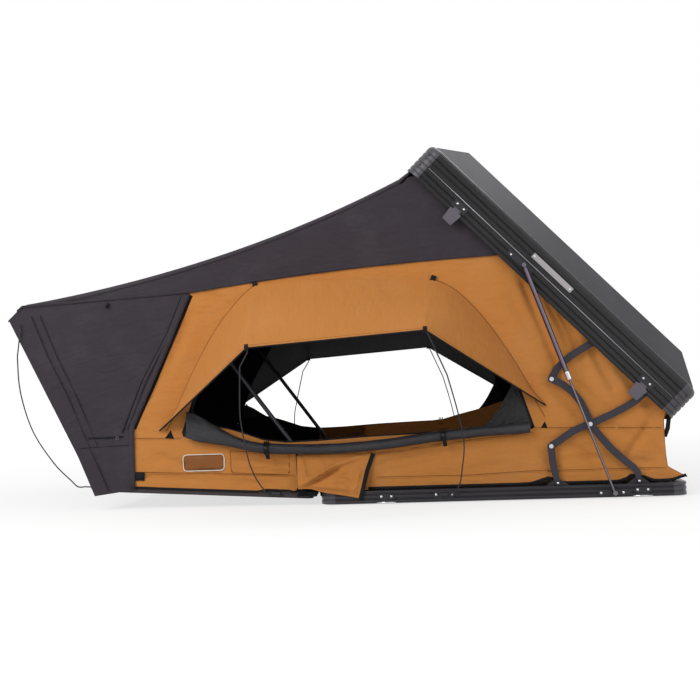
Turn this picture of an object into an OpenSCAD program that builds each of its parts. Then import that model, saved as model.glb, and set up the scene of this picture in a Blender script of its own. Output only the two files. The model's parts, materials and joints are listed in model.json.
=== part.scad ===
// Hard-shell roof top tent, open for camping.
// X runs from the front (fold-out floor) to the rear, Y to the far side, Z up.
// The origin is the centre of the base tray's underside.

/* [Shell] */
// Length of the closed shell
shell_length = 1450; // [1400:10:1520]
// Width of the closed shell
shell_width = 1300; // [1260:10:1400]
// Height of the base tray's rails
base_height = 50; // [46:1:56]
// Radius of the shell's corners seen from above
corner_radius = 60; // [50:1:75]
// Wall of the ribbed rails
rail_wall = 6; // [5:0.5:8]
// Width of the rails' flanges
flange_width = 40; // [36:1:48]
// Thickness of the rails' flanges
flange_thickness = 4; // [3:0.5:6]
// Height of the lid's side rails
lid_rail_height = 150; // [142:1:165]
// Radius of the shoulder at the top of the lid's rails
shoulder_radius = 24; // [20:1:28]
// Rise of the lid's hipped top above its rails
hip_rise = 95; // [70:1:120]
// Run of the hip along the sides, seen from above
hip_run = 128; // [90:1:160]
// Run of the hip at the front end
hip_run_front = 92; // [70:1:140]
// Run of the hip at the rear end
hip_run_rear = 111; // [80:1:150]
// Sheet thickness of the lid's top
top_sheet = 3; // [2:0.5:5]
// Cut-away under the lid's front rail, over the floor's hinges
front_clearance = 55; // [50:1:62]
// Height of the rubber seal under the lid
seal_height = 4; // [3:0.5:5]
// Depth of the grooves between the rails' ribs
groove_depth = 3; // [2:0.5:4]

/* [Lid when open] */
// Tilt of the open lid
lid_angle = 46; // [45:0.5:47]
// How far the lid's rear edge moves forward when it opens
lid_rear_shift = 51; // [45:1:57]
// How far the lid's rear edge lifts when it opens
lid_rear_lift = 242; // [236:1:250]

/* [Linkage] */
// Height of the arm pivots above the rail
pivot_rise = 10; // [9:1:16]
// Long arm's base pivot, from the shell's rear end
long_arm_pivot = 190; // [180:1:200]
// Lower link's base pivot, from the shell's rear end
lower_link_pivot = 506; // [498:1:514]
// Elbow between lower link and cross arm, from the rear end
elbow_from_rear = 526; // [520:1:532]
// Elbow's height above the base's underside
elbow_height = 206; // [202:1:212]
// Long arm's upper end, from the rear end
knee_from_rear = 514; // [508:1:520]
// Long arm's upper end, above the base's underside
knee_height = 471; // [462:1:478]
// Place of the scissor pivot along the long arm
scissor_reach = 291; // [284:1:298]
// Cross arm's pivot on the lid, from the lid's rear end
cross_lid_s = 117.7; // [112:0.1:124]
// Cross arm's pivot on the lid, above the lid's lower edge
cross_lid_p = 114.4; // [108:0.1:120]
// Upper link's pivot on the lid, from the lid's rear end
link_lid_s = 409.9; // [400:0.1:420]
// Upper link's pivot on the lid, above the lid's lower edge
link_lid_p = 83.5; // [78:0.1:92]
// Width of the flat arms
arm_width = 28; // [24:1:30]
// Thickness of the flat arms
arm_thickness = 5; // [4:0.5:5]
// Radius of the pivot bolts
bolt_radius = 5; // [4:0.5:6]
// How far the arms bow out of line
arm_bow = 12; // [6:1:16]

/* [Gas strut] */
// Strut's ball on the lid, from the lid's rear end
strut_lid_s = 842; // [830:1:850]
// Strut's ball on the lid, above the lid's lower edge
strut_lid_p = 40; // [34:1:46]
// Strut's ball on the base, from the shell's rear end
strut_base_from_rear = 290; // [280:1:300]
// Strut's ball on the base, above its underside
strut_base_z = 18; // [15:1:24]
// Length of the strut's tube
strut_tube_length = 480; // [440:1:490]
// Radius of the strut's tube
strut_tube_radius = 10; // [8:0.5:11]
// Radius of the strut's rod
strut_rod_radius = 5; // [4:0.5:6]

/* [Fold-out floor] */
// Length of the fold-out floor
floor_length = 882; // [820:2:940]
// How far the floor's sides lie inside the shell's
floor_inset = 40; // [39:1:46]
// Thickness of the floor's frame
floor_thickness = 34; // [28:1:38]
// Width of the floor frame's rails
floor_rail = 42; // [36:1:60]
// Slope of the floor, rising away from the base
floor_rise = 3.4; // [0:0.1:4]
// Hinge axis in front of the base
hinge_out = 6; // [5:0.5:7]
// Hinge axis above the base's rail
hinge_up = 14; // [13:0.5:16]
// Gap between the hinge axis and the floor's frame
floor_gap = 28; // [26:1:34]
// Depth of the floor's top below the hinge axis
floor_drop = 10; // [9:0.5:10.5]
// Radius of the hinge knuckles
knuckle_radius = 6.5; // [6:0.5:7]
// Width of a hinge
hinge_width = 80; // [70:2:100]

/* [Bow] */
// Length of the bow's legs
bow_length = 985; // [940:1:1010]
// How far the bow's legs lie inside the shell's sides
bow_inset = 94; // [84:1:110]
// Radius of the bow's tube
bow_tube = 9; // [8:0.5:9]
// Lean of the standing bow from upright
bow_lean = 35.8; // [34:0.1:37]
// Radius of the bow's upper corners
bow_corner = 120; // [80:5:180]

/* [Soft parts] */
// Thickness of the canvas solids
canvas_thickness = 4; // [3:0.5:4]
// Thickness of the fly solids
fly_thickness = 3; // [2:0.5:3]
// Height of the base's mattress
base_mattress_height = 56; // [40:1:60]
// Height of the floor's mattress
floor_mattress_height = 46; // [30:1:60]
// Crown of the mattresses
mattress_crown = 8; // [4:1:12]
// How far the awnings stand out from the walls
awning_reach = 381; // [340:1:420]
// Radius of the rolled window covers
roll_radius = 22; // [18:1:24]
// Radius of the spring-steel rods
rod_radius = 4; // [3:0.5:5]

/* [Fasteners and mounts] */
// Distance between the mounting bolts along the shell
mount_spacing_x = 900; // [800:10:1000]
// Distance between the mounting channels
mount_spacing_y = 800; // [700:10:900]
// Radius of the mounting bolt holes
mount_hole_radius = 4.25; // [3.25:0.25:5.25]
// Width of the mounting channels
channel_width = 40; // [34:1:50]
// Height of the mounting channels
channel_height = 20; // [16:1:22]
// Front hasps and catches, from the shell's front end
front_hasp = 265; // [240:1:300]
// Rear hasps and catches, from the shell's rear end
rear_hasp = 180; // [170:1:190]
// Width of a hasp's mount
hasp_width = 66; // [56:1:80]
// Length of a hasp's plate
hasp_length = 64; // [50:1:66]
// Place of the base's rod socket, from the shell's front end
base_socket_from_front = 494; // [470:1:520]

/* [Hidden] */
$fn = 48;

// Clearances
seat_gap = 0.3;
pivot_gap = 0.25;
layer_gap = 0.6;

// Half sizes and levels
half_l = shell_length / 2;
half_w = shell_width / 2;
floor_half = half_w - floor_inset;
bow_half = half_w - bow_inset;
straight_l = shell_length - 2 * corner_radius;
straight_w = shell_width - 2 * corner_radius;
panel_thickness = 14;
panel_z = channel_height + flange_thickness;

// Layers of the flat arms, counted inwards from the lid's rail
head_thickness = 4;
head_y = -half_w + rail_wall + 1.5;
layer_pitch = arm_thickness + layer_gap;
layer1_y = head_y + head_thickness;
layer2_y = layer1_y + layer_pitch;
layer3_y = layer2_y + layer_pitch;
layer4_y = layer3_y + layer_pitch;

// Open lid: a place on the lid is s from its rear end and p above the base's rail when closed
lid_rear_x = half_l - lid_rear_shift;
lid_rear_z = base_height + lid_rear_lift;
function lid_point(s, p) = [
  lid_rear_x - s * cos(lid_angle) + p * sin(lid_angle),
  lid_rear_z + s * sin(lid_angle) + p * cos(lid_angle)
];

// Pivots of the linkage, as [x, z]
pivot_z = base_height + pivot_rise;
pivot_e = [half_l - long_arm_pivot, pivot_z];
pivot_d = [half_l - lower_link_pivot, pivot_z];
pivot_b = [half_l - elbow_from_rear, elbow_height];
pivot_a = [half_l - knee_from_rear, knee_height];
pivot_c = pivot_e + scissor_reach * (pivot_a - pivot_e) / norm(pivot_a - pivot_e);
pivot_f = lid_point(cross_lid_s, cross_lid_p);
pivot_g = lid_point(link_lid_s, link_lid_p);

// Strut's line, as [x, z]
strut_top = lid_point(strut_lid_s, strut_lid_p);
strut_foot = [half_l - strut_base_from_rear, strut_base_z];
strut_length = norm(strut_foot - strut_top);
strut_y = -half_w - 18;
ball_radius = 6;

// Floor's hinge line and the bow's foot
hinge_x = -half_l - hinge_out;
hinge_z = base_height + hinge_up;
bow_x = -half_l + 13;
bow_z = base_height + 12;
bow_eye = 12;
hinge_places = [-400, 0, 400];

// Places of the cloth
canvas_y = -half_w + flange_width - 4;
sewn_gap = 0.3;
fly_y = canvas_y - canvas_thickness - sewn_gap;
awning_y = fly_y;
split_x = hinge_x;
roll_y = canvas_y - canvas_thickness - sewn_gap - roll_radius;

// A place on the sloping floor, given along the floor, across it and above its hinge axis
function floor_at(along, y, up) = [
  hinge_x + along * cos(floor_rise) + up * sin(floor_rise), y,
  hinge_z - along * sin(floor_rise) + up * cos(floor_rise)
];
floor_end = -floor_gap - floor_length;
socket_up = -floor_drop - floor_thickness / 2;
side_socket_along = -175;
side_socket_y = -floor_half - 8;
end_socket_y = -floor_half + 12;
base_socket_x = -half_l + base_socket_from_front;
base_socket_y = -half_w - 11;
base_socket_z = 30;

// Places given as a distance ahead of the hinge line, ahead of the shell's rear, or from the floor's end
function ahead(d, z) = [split_x - d, z];
function from_rear(d, z) = [half_l - d, z];
floor_end_x = hinge_x + floor_end * cos(floor_rise);
floor_end_z = hinge_z - floor_end * sin(floor_rise);
function from_end(d, z) = [floor_end_x + d, floor_end_z + z];
function out_at(place, out) = [place[0], -half_w - out, place[1]];

// Routes of the spring-steel rods, near side
awning_edge = awning_reach - half_w - awning_y - 16;
window_rod_front = [
  out_at(ahead(212, 612), awning_edge), out_at(ahead(245, 558), awning_edge - 15), out_at(ahead(270, 395), 210),
  out_at(ahead(276, 315), 140), out_at(ahead(267, 192), 70), out_at(ahead(249, 118), 22), out_at(ahead(224, 68), -10),
  floor_at(side_socket_along - 40, side_socket_y - 2, socket_up + 4),
  floor_at(side_socket_along - 27, side_socket_y, socket_up),
  floor_at(side_socket_along + 10, side_socket_y, socket_up)
];
window_rod_rear = [
  out_at(from_rear(993, 652), awning_edge), out_at(from_rear(929, 501), awning_edge - 45),
  out_at(from_rear(892, 356), 200), out_at(from_rear(872, 233), 120), out_at(from_rear(882, 127), 55),
  [base_socket_x + 65, base_socket_y - 19, 76], [base_socket_x + 49, base_socket_y - 5, 42],
  [base_socket_x + 27, base_socket_y, base_socket_z], [base_socket_x - 6, base_socket_y, base_socket_z]
];
rod_in = -18;
canopy_rod = [
  out_at(from_end(-311, 622), rod_in), out_at(from_end(-325, 522), rod_in), out_at(from_end(-316, 377), rod_in),
  out_at(from_end(-268, 215), rod_in), out_at(from_end(-183, 81), rod_in), out_at(from_end(-111, 6), rod_in),
  out_at(from_end(-86, -20), rod_in - 8), floor_at(floor_end - 62, end_socket_y - 8, socket_up + 1),
  floor_at(floor_end - 45, end_socket_y, socket_up), floor_at(floor_end - 8, end_socket_y, socket_up)
];

// Route of a rolled window cover along the sill, as shares of the way to each of its ends
roll_gap = 0.5;
roll_front_end = 527;
roll_rear_end = half_l - 607 - split_x;
roll_route = [
  for (step = [[1, 300], [0.833, 276], [0.674, 258], [0.472, 238], [0.25, 226], [0.13, 226], [0, 228]])
    ahead(roll_gap + step[0] * roll_front_end, step[1])
];
roll_route_rear = [
  for (step = [[0, 228], [0.155, 235], [0.343, 248], [0.535, 261], [0.767, 272], [1, 280]])
    ahead(-roll_gap - step[0] * roll_rear_end, step[1])
];

// Points along the fly's hanging top line, from the lid to the canopy's ridge
fly_start = lid_point(shell_length - 6, -30);
bow_top = [bow_x - bow_length * sin(bow_lean), bow_z + bow_length * cos(bow_lean)];
fly_control = bow_top + [232, 115];
fly_end = bow_top + [-655, -6];
canopy_tip = bow_top + [-718, -66];
function fly_curve(t) = (1 - t) * (1 - t) * fly_start + 2 * t * (1 - t) * fly_control + t * t * fly_end;
function curve_at_x(x, lo = 0, hi = 1, n = 24) =
  n == 0 ? (lo + hi) / 2 :
  fly_curve((lo + hi) / 2)[0] > x ? curve_at_x(x, (lo + hi) / 2, hi, n - 1) : curve_at_x(x, lo, (lo + hi) / 2, n - 1);
split_t = curve_at_x(split_x);
fly_steps = 8;
fly_rear_line = [for (i = [0:fly_steps]) fly_curve(split_t * i / fly_steps)];
fly_tuck = lid_point(shell_length - rail_wall - 8, front_clearance + 16);
fly_front_line = [for (i = [0:fly_steps]) fly_curve(split_t + (1 - split_t) * i / fly_steps)];

// Lower edge of the fly's skirt and the canopy's outline, as [x, z]
skirt_tuck = 22;
skirt_lid_s = 929;
skirt_lid = lid_point(skirt_lid_s, skirt_tuck);
skirt_head = lid_point(shell_length - corner_radius + 2, skirt_tuck);
skirt_corner = bow_top + [53, 14];
skirt_split = skirt_lid + (skirt_corner - skirt_lid) * (skirt_lid[0] - split_x) / (skirt_lid[0] - skirt_corner[0]);
canopy_knee = from_end(149, 205);
canopy_foot_rear = from_end(150, -40);
canopy_foot_front = from_end(-18, -62);
canopy_hem = from_end(-46, 8);
canopy_shin = from_end(-84, 102);

// Window opening and awning seam, as [x, z]
sill_z = 288;
window_top = 858;
window_rear = [
  ahead(0, sill_z), from_rear(592, 280), from_rear(680, 550), from_rear(820, 745), from_rear(965, 862), ahead(0, window_top)
];
window_front = [
  ahead(0, sill_z), ahead(0, window_top), ahead(214, 856), ahead(334, 745), ahead(474, 510), ahead(554, 292)
];
seam_rear = [ahead(0, 891), from_rear(947, 894), from_rear(795, 763), from_rear(652, 560), from_rear(540, 384)];
seam_front = [ahead(0, 891), ahead(236, 889), ahead(356, 767), ahead(505, 523), ahead(648, 319)];
corner_rear = from_rear(1004, 668);
corner_front = ahead(213, 627);

module both_sides() {
  children();
  mirror([0, 1, 0]) children();
}

module both_ends() {
  children();
  mirror([1, 0, 0]) children();
}

// Stands a flat shape, drawn as [x, z], with its far face at y
module stand(y, thickness) {
  translate([0, y, 0]) rotate([90, 0, 0]) linear_extrude(thickness) children();
}

// Carries a closed lid's piece to the open lid
module lid_pose() {
  translate([lid_rear_x, 0, lid_rear_z]) rotate([0, lid_angle, 0])
    translate([-half_l, 0, -base_height]) children();
}

// Carries a piece drawn around the hinge axis to the floor's slope
module floor_pose() {
  translate([hinge_x, 0, hinge_z]) rotate([0, floor_rise, 0]) children();
}

module rounded_plate(size_x, size_y, radius, height) {
  translate([-size_x / 2, -size_y / 2 + radius, 0]) cube([size_x, size_y - 2 * radius, height]);
  translate([-size_x / 2 + radius, -size_y / 2, 0]) cube([size_x - 2 * radius, size_y, height]);
  for (i = [-1, 1], j = [-1, 1])
    translate([i * (size_x / 2 - radius), j * (size_y / 2 - radius), 0]) cylinder(r = radius, h = height);
}

// A groove between two ribs, as outline points from below to above
function groove(z) = [
  [0, z - groove_depth - 1], [groove_depth, z - 1], [groove_depth, z + 1], [0, z + groove_depth + 1]
];

// Rail outlines, as [inset from the outer face, height]
ledge_z = channel_height;
base_profile = concat(
  [[0, 0]], groove(base_height * 0.35), groove(base_height * 0.72),
  [
    [0, base_height], [flange_width, base_height], [flange_width, base_height - flange_thickness],
    [rail_wall, base_height - flange_thickness], [rail_wall, ledge_z + flange_thickness],
    [flange_width, ledge_z + flange_thickness], [flange_width, ledge_z], [rail_wall, ledge_z], [rail_wall, 0]
  ]
);
lid_flange = 60;
lid_low = base_height + seal_height + seat_gap;
lid_top_z = base_height + lid_rail_height;
arc_steps = 8;
function shoulder(r, turn_from, turn_to) = [
  for (i = [0:arc_steps])
    let (a = turn_from + (turn_to - turn_from) * i / arc_steps)
      [shoulder_radius + r * cos(a), lid_top_z - shoulder_radius + r * sin(a)]
];
lid_grooves = [0.1, 0.24, 0.4, 0.56, 0.7];
function lid_profile(low) = concat(
  [[0, low]],
  [
    for (share = lid_grooves)
      let (z = lid_low + lid_rail_height * share)
        if (z - 2 * groove_depth > low) each groove(z)
  ],
  shoulder(shoulder_radius, 180, 90),
  [[lid_flange, lid_top_z], [lid_flange, lid_top_z - rail_wall]],
  shoulder(shoulder_radius - rail_wall, 90, 180),
  [[rail_wall, low]]
);

// Rail along X on the near side
module side_rail(profile) {
  translate([-straight_l / 2, 0, 0]) rotate([90, 0, 90]) linear_extrude(straight_l)
    polygon([for (p = profile) [p[0] - half_w, p[1]]]);
}

// Rail along Y at the front end
module end_rail(profile) {
  translate([0, straight_w / 2, 0]) rotate([90, 0, 0]) linear_extrude(straight_w)
    polygon([for (p = profile) [p[0] - half_l, p[1]]]);
}

// Quarter turn of a rail at the front near corner
module corner_cap(profile) {
  translate([-half_l + corner_radius, -half_w + corner_radius, 0]) rotate([0, 0, 180])
    rotate_extrude(angle = 90, $fn = 96)
      polygon([for (p = profile) [max(corner_radius - p[0], 0), p[1]]]);
}

// Base tray
module base_side_rails() {
  color("dimgray") both_sides() side_rail(base_profile);
}

module base_end_rails() {
  color("dimgray") both_ends() end_rail(base_profile);
}

module base_corner_caps() {
  color("#2b2b30") both_sides() both_ends() corner_cap(base_profile);
}

module base_floor_panel() {
  inset = rail_wall + 2;
  color("gainsboro") translate([0, 0, panel_z])
    rounded_plate(shell_length - 2 * inset, shell_width - 2 * inset, corner_radius - inset, panel_thickness);
}

module mounting_channels() {
  wall = 4;
  channel_length = shell_length - 2 * flange_width - 20;
  lip = 6;
  color("silver") both_sides() translate([0, -mount_spacing_y / 2, 0]) difference() {
    translate([-channel_length / 2, -channel_width / 2, 0])
      cube([channel_length, channel_width, channel_height + flange_thickness - seat_gap]);
    translate([-channel_length / 2 - 1, -channel_width / 2 + wall, wall])
      cube([channel_length + 2, channel_width - 2 * wall, channel_height - wall - lip + flange_thickness]);
    for (i = [-1, 1])
      translate([i * mount_spacing_x / 2, 0, -1]) cylinder(r = mount_hole_radius, h = wall + 2);
  }
}

// Pivot bolt along Y: its head outside, its shank running in to a given depth
module pivot_bolt(place, depth, nut = 0) {
  head_radius = bolt_radius * 1.7;
  translate([place[0], head_y, place[1]]) rotate([-90, 0, 0]) {
    cylinder(r = head_radius, h = head_thickness - 0.2);
    cylinder(r = bolt_radius, h = depth - head_y);
    if (nut > 0) translate([0, 0, depth - head_y]) cylinder(r = head_radius, h = nut, $fn = 6);
  }
}

module base_link_brackets() {
  foot_w = 92;
  top_w = 26;
  plate = 2 * arm_thickness;
  color("#26262a") both_sides() {
    for (place = [pivot_d, pivot_e]) {
      difference() {
        stand(layer2_y + plate, plate) polygon([
          [place[0] - foot_w / 2, base_height], [place[0] + foot_w / 2, base_height],
          [place[0] + top_w / 2, place[1] + top_w / 2], [place[0] - top_w / 2, place[1] + top_w / 2]
        ]);
        stand(layer2_y + plate + 1, plate + 2) translate(place) circle(seated_hole);
      }
      pivot_bolt(place, layer2_y + plate);
    }
  }
}

hasp_x_front = -half_l + front_hasp;
hasp_x_rear = half_l - rear_hasp;
catch_depth = 4;

module base_catches() {
  catch_h = 22;
  keeper_w = hasp_width * 0.7;
  color("#303035") both_sides() for (x = [hasp_x_front, hasp_x_rear]) {
    translate([x - hasp_width / 2, -half_w - catch_depth, 16]) cube([hasp_width, catch_depth, catch_h]);
    translate([x - keeper_w / 2, -half_w - catch_depth + 1, 6]) cube([keeper_w, catch_depth - 1, 10]);
  }
}

// Ball stud along Y that carries a strut's end
module ball_stud(place) {
  translate([place[0], 0, place[1]]) rotate([90, 0, 0])
    translate([0, 0, half_w]) cylinder(r = 4, h = -strut_y - half_w - 10 - seat_gap);
}

module strut_base_brackets() {
  plate_w = 130;
  plate_h = 22;
  color("#303035") both_sides() {
    translate([strut_foot[0] - plate_w / 2, -half_w - 4, strut_foot[1] - plate_h / 2])
      cube([plate_w, 4, plate_h]);
    ball_stud(strut_foot);
  }
}

// Tubular socket along X that takes a rod's foot from its low-X or high-X end
module rod_socket(turn) {
  bore_gap = 0.4;
  socket_radius = rod_radius + 3.5;
  body = 36;
  rotate([0, turn, 0]) translate([0, 0, -body / 2]) difference() {
    cylinder(r = socket_radius, h = body);
    translate([0, 0, 5]) cylinder(r = rod_radius + bore_gap, h = body);
  }
}

module base_rod_sockets() {
  plate = 4;
  color("#303035") both_sides() {
    translate([base_socket_x - 40, -half_w - plate, base_socket_z - 16]) cube([80, plate, 26]);
    translate([base_socket_x, base_socket_y, base_socket_z]) rod_socket(90);
  }
}

module bow_brackets() {
  plate = 4;
  gap = 1.5;
  tang = 10;
  color("#303035") both_sides() translate([bow_x, -bow_half, 0]) {
    for (side = [-1, 1]) translate([0, side * (tang / 2 + gap + plate / 2) + plate / 2, 0])
      rotate([90, 0, 0]) linear_extrude(plate) {
        translate([0, bow_z]) circle(bow_eye - 1);
        translate([-bow_eye + 1, base_height]) square([2 * bow_eye - 2, bow_z - base_height]);
      }
    translate([0, tang / 2 + gap + plate, bow_z]) rotate([90, 0, 0])
      cylinder(r = 4, h = tang + 2 * gap + 2 * plate);
  }
}

knuckle_length = 25;

module base_hinge_leaves() {
  leaf = 3;
  leaf_low = 18;
  notch = knuckle_length + seat_gap;
  color("silver") for (y = hinge_places) {
    difference() {
      translate([-half_l - leaf, y - hinge_width / 2, leaf_low])
        cube([leaf, hinge_width, hinge_z - leaf_low - knuckle_radius + 4]);
      translate([-half_l - leaf - 1, y - notch / 2, hinge_z - knuckle_radius - 2 * seat_gap])
        cube([leaf + 2, notch, knuckle_radius]);
    }
    for (side = [-1, 1]) translate([hinge_x, y + side * (knuckle_length + 0.5), hinge_z]) rotate([90, 0, 0])
      cylinder(r = knuckle_radius, h = knuckle_length, center = true);
    translate([hinge_x, y, hinge_z]) rotate([90, 0, 0])
      cylinder(r = 3, h = 3 * knuckle_length + 6, center = true);
  }
}

// Crowned pad: rings of a rounded outline with its sides drawn in, as [inset, height]
module pad(size_x, size_y, height, crown) {
  points_round = 40;
  draw_in = 10;
  rings = [
    [14, 0], [3, 0.2 * height], [0, 0.5 * height], [4, 0.8 * height], [22, 0.96 * height],
    [70, height + 0.35 * crown], [170, height + 0.8 * crown], [300, height + crown]
  ];
  function corner_power(v) = sign(v) * pow(abs(v), 0.28);
  function ring_point(ring, k) =
    let (a = 360 * k / points_round)
      [
        (size_x / 2 - ring[0] - draw_in * pow(sin(a), 2) * pow(cos(a), 2)) * corner_power(cos(a)),
        (size_y / 2 - ring[0] - draw_in * pow(cos(2 * a), 2)) * corner_power(sin(a)),
        ring[1]
      ];
  count = len(rings);
  points = concat(
    [for (ring = rings, k = [0:points_round - 1]) ring_point(ring, k)],
    [[0, 0, 0], [0, 0, height + crown]]
  );
  function at(i, k) = i * points_round + (k % points_round);
  faces = concat(
    [for (i = [0:count - 2], k = [0:points_round - 1]) [at(i, k), at(i + 1, k), at(i + 1, k + 1)]],
    [for (i = [0:count - 2], k = [0:points_round - 1]) [at(i, k), at(i + 1, k + 1), at(i, k + 1)]],
    [for (k = [0:points_round - 1]) [count * points_round, at(0, k), at(0, k + 1)]],
    [for (k = [0:points_round - 1]) [count * points_round + 1, at(count - 1, k + 1), at(count - 1, k)]]
  );
  polyhedron(points, faces);
}

pad_margin = 62;

module base_mattress() {
  size_x = shell_length - 2 * pad_margin;
  size_y = shell_width - 2 * pad_margin;
  color("#b9b3a8") translate([0, 0, panel_z + panel_thickness + seat_gap])
    pad(size_x, size_y, base_mattress_height, mattress_crown);
}

// Canvas walls: a strip of the wall below the lid and the fly, with its part of the window
wall_foot_rear = half_l - flange_width - 38;
lid_tuck = 14;
module wall_rear() {
  foot_z = base_height + seat_gap;
  difference() {
    stand(canvas_y, canvas_thickness) polygon([
      [split_x, foot_z], [wall_foot_rear, foot_z], lid_point(40, lid_tuck), lid_point(960, lid_tuck),
      [split_x, skirt_split[1] + 40]
    ]);
    stand(canvas_y + 1, canvas_thickness + 2) polygon(window_rear);
  }
}

module wall_rear_near() {
  color("peru") wall_rear();
}

module wall_rear_far() {
  color("peru") mirror([0, 1, 0]) wall_rear();
}

module back_wall() {
  inner_half = -canvas_y - 2;
  foot = half_l - flange_width + 2;
  knee = foot - flange_width + 2;
  head = lid_point(30, 10);
  low_fold = base_height + 42;
  high_fold = base_height + 100;
  outline = [
    [foot, base_height + seat_gap], [knee + 14, low_fold], [knee, high_fold], head,
    head + [canvas_thickness, 0], [knee + canvas_thickness, high_fold], [knee + 14 + canvas_thickness, low_fold + 2],
    [foot + canvas_thickness, base_height + 3]
  ];
  color("peru") stand(inner_half, 2 * inner_half) polygon(outline);
}

// Outline of a flat arm that follows a list of places, with round ends and a slimmer foot
cap_steps = 10;
foot_growth = 0.1;
foot_gap = 0.4;
slim_foot = pivot_rise - foot_gap;
function heading_at(path, i) =
  let (step = path[min(i + 1, len(path) - 1)] - path[max(i - 1, 0)]) step / norm(step);
function left_of(heading) = [-heading[1], heading[0]];
function way_to(path, i) = i == 0 ? 0 : norm(path[i] - path[i - 1]) + way_to(path, i - 1);
function half_at(path, i, foot) = min(arm_width / 2, foot + foot_growth * way_to(path, i));
function side_of(path, foot, side) = [
  for (i = [0:len(path) - 1]) path[i] + side * half_at(path, i, foot) * left_of(heading_at(path, i))
];
function cap_at(place, heading, half, turn) = [
  for (k = [1:cap_steps - 1])
    let (a = turn + 180 * k / cap_steps) place + half * (heading * cos(a) + left_of(heading) * sin(a))
];
function reversed(list) = [for (i = [len(list) - 1:-1:0]) list[i]];
function arm_outline(path, foot) =
  let (last = len(path) - 1)
    concat(
      side_of(path, foot, -1), cap_at(path[last], heading_at(path, last), half_at(path, last, foot), -90),
      reversed(side_of(path, foot, 1)), cap_at(path[0], heading_at(path, 0), half_at(path, 0, foot), 90)
    );

// Flat arm with holes given as [place, radius]
module flat_arm(path, holes, y_outer, foot = arm_width / 2) {
  difference() {
    stand(y_outer + arm_thickness, arm_thickness) polygon(arm_outline(path, foot));
    for (hole = holes)
      stand(y_outer + arm_thickness + 1, arm_thickness + 2) translate(hole[0]) circle(hole[1]);
  }
}

running_hole = bolt_radius + pivot_gap;
seated_hole = bolt_radius + seat_gap / 3;

// Places from one pivot to the next; each step is a share of the way and a share of the arm's bow to its left
function bent(from, to, steps) =
  let (along = to - from, side = left_of(along / norm(along)))
    concat([for (step = steps) from + along * step[0] + side * arm_bow * step[1]], [to]);

module long_arm() {
  path = concat(
    [pivot_e], bent(pivot_e, pivot_c, [[0.09, -1.4], [0.18, -1.5], [0.35, -0.7], [0.55, 0], [0.78, 0.15]]),
    bent(pivot_c, pivot_a, [[0.18, -1.4], [0.39, -2.35], [0.59, -2.5], [0.78, -1.85], [0.9, -1]])
  );
  flat_arm(path, [[pivot_e, running_hole], [pivot_c, seated_hole], [pivot_a, seated_hole]], layer1_y, slim_foot);
}

module long_arm_near() {
  color("#4a4a4c") long_arm();
}

module long_arm_far() {
  color("#4a4a4c") mirror([0, 1, 0]) long_arm();
}

module scissor_bolts() {
  color("silver") both_sides() {
    pivot_bolt(pivot_c, layer1_y + arm_thickness);
    pivot_bolt(pivot_a, layer3_y + arm_thickness + seat_gap, 3);
  }
}

module lower_link() {
  holes = [[pivot_d, running_hole], [pivot_b, running_hole]];
  path = concat([pivot_d], bent(pivot_d, pivot_b, [[0.13, 0.15], [0.26, 0.3], [0.54, 0.45], [0.79, 0.25]]));
  flat_arm(path, holes, layer1_y, slim_foot);
}

module lower_links() {
  color("#4a4a4c") both_sides() lower_link();
}

module cross_arm() {
  path = concat(
    [pivot_b], bent(pivot_b, pivot_c, [[0.2, 0.2], [0.46, 0.55], [0.64, 0.7], [0.87, 0.35]]),
    bent(pivot_c, pivot_f, [[0.12, -0.35], [0.26, -0.7], [0.42, -0.85], [0.54, -0.75], [0.67, 0], [0.84, 0.4]])
  );
  flat_arm(path, [[pivot_b, seated_hole], [pivot_f, seated_hole]], layer2_y);
}

module cross_arm_near() {
  color("#4a4a4c") cross_arm();
}

module cross_arm_far() {
  color("#4a4a4c") mirror([0, 1, 0]) cross_arm();
}

module elbow_bolts() {
  color("silver") both_sides() {
    pivot_bolt(pivot_b, layer2_y + arm_thickness, 4);
    pivot_bolt(pivot_f, layer2_y + arm_thickness);
  }
}

module upper_link() {
  holes = [[pivot_a, running_hole], [pivot_g, running_hole]];
  path = concat([pivot_a], bent(pivot_a, pivot_g, [[0.15, 1.6], [0.28, 2], [0.4, 2.05], [0.55, 1.75], [0.75, 1]]));
  flat_arm(path, holes, layer3_y);
}

module upper_link_near() {
  color("#4a4a4c") upper_link();
}

module upper_link_far() {
  color("#4a4a4c") mirror([0, 1, 0]) upper_link();
}

// Lid, drawn closed and carried open
module lid_side_rails() {
  color("#2e2f34") lid_pose() both_sides() side_rail(lid_profile(lid_low));
}

module lid_end_rails() {
  color("#2e2f34") lid_pose() {
    end_rail(lid_profile(base_height + front_clearance));
    mirror([1, 0, 0]) end_rail(lid_profile(lid_low));
  }
}

module lid_corner_caps() {
  color("#3c3c42") lid_pose() both_sides() both_ends() corner_cap(lid_profile(lid_low));
}

// Block that tapers from a lower to an upper rectangle; each end has its own run
module hip_block(inset, low, high) {
  slice = 0.1;
  front = inset + hip_run_front;
  rear = inset + hip_run_rear;
  side = inset + hip_run;
  hull() {
    translate([-half_l + inset, -half_w + inset, low])
      cube([shell_length - 2 * inset, shell_width - 2 * inset, slice]);
    translate([-half_l + front, -half_w + side, high - slice])
      cube([shell_length - front - rear, shell_width - 2 * side, slice]);
  }
}

module lid_top() {
  lip = shoulder_radius + 4;
  low = lid_top_z + 0.1;
  color("#625d62") lid_pose() difference() {
    hip_block(lip, low, low + hip_rise);
    hip_block(lip + 2 * top_sheet, low - 1, low + hip_rise - top_sheet);
  }
}

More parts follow.
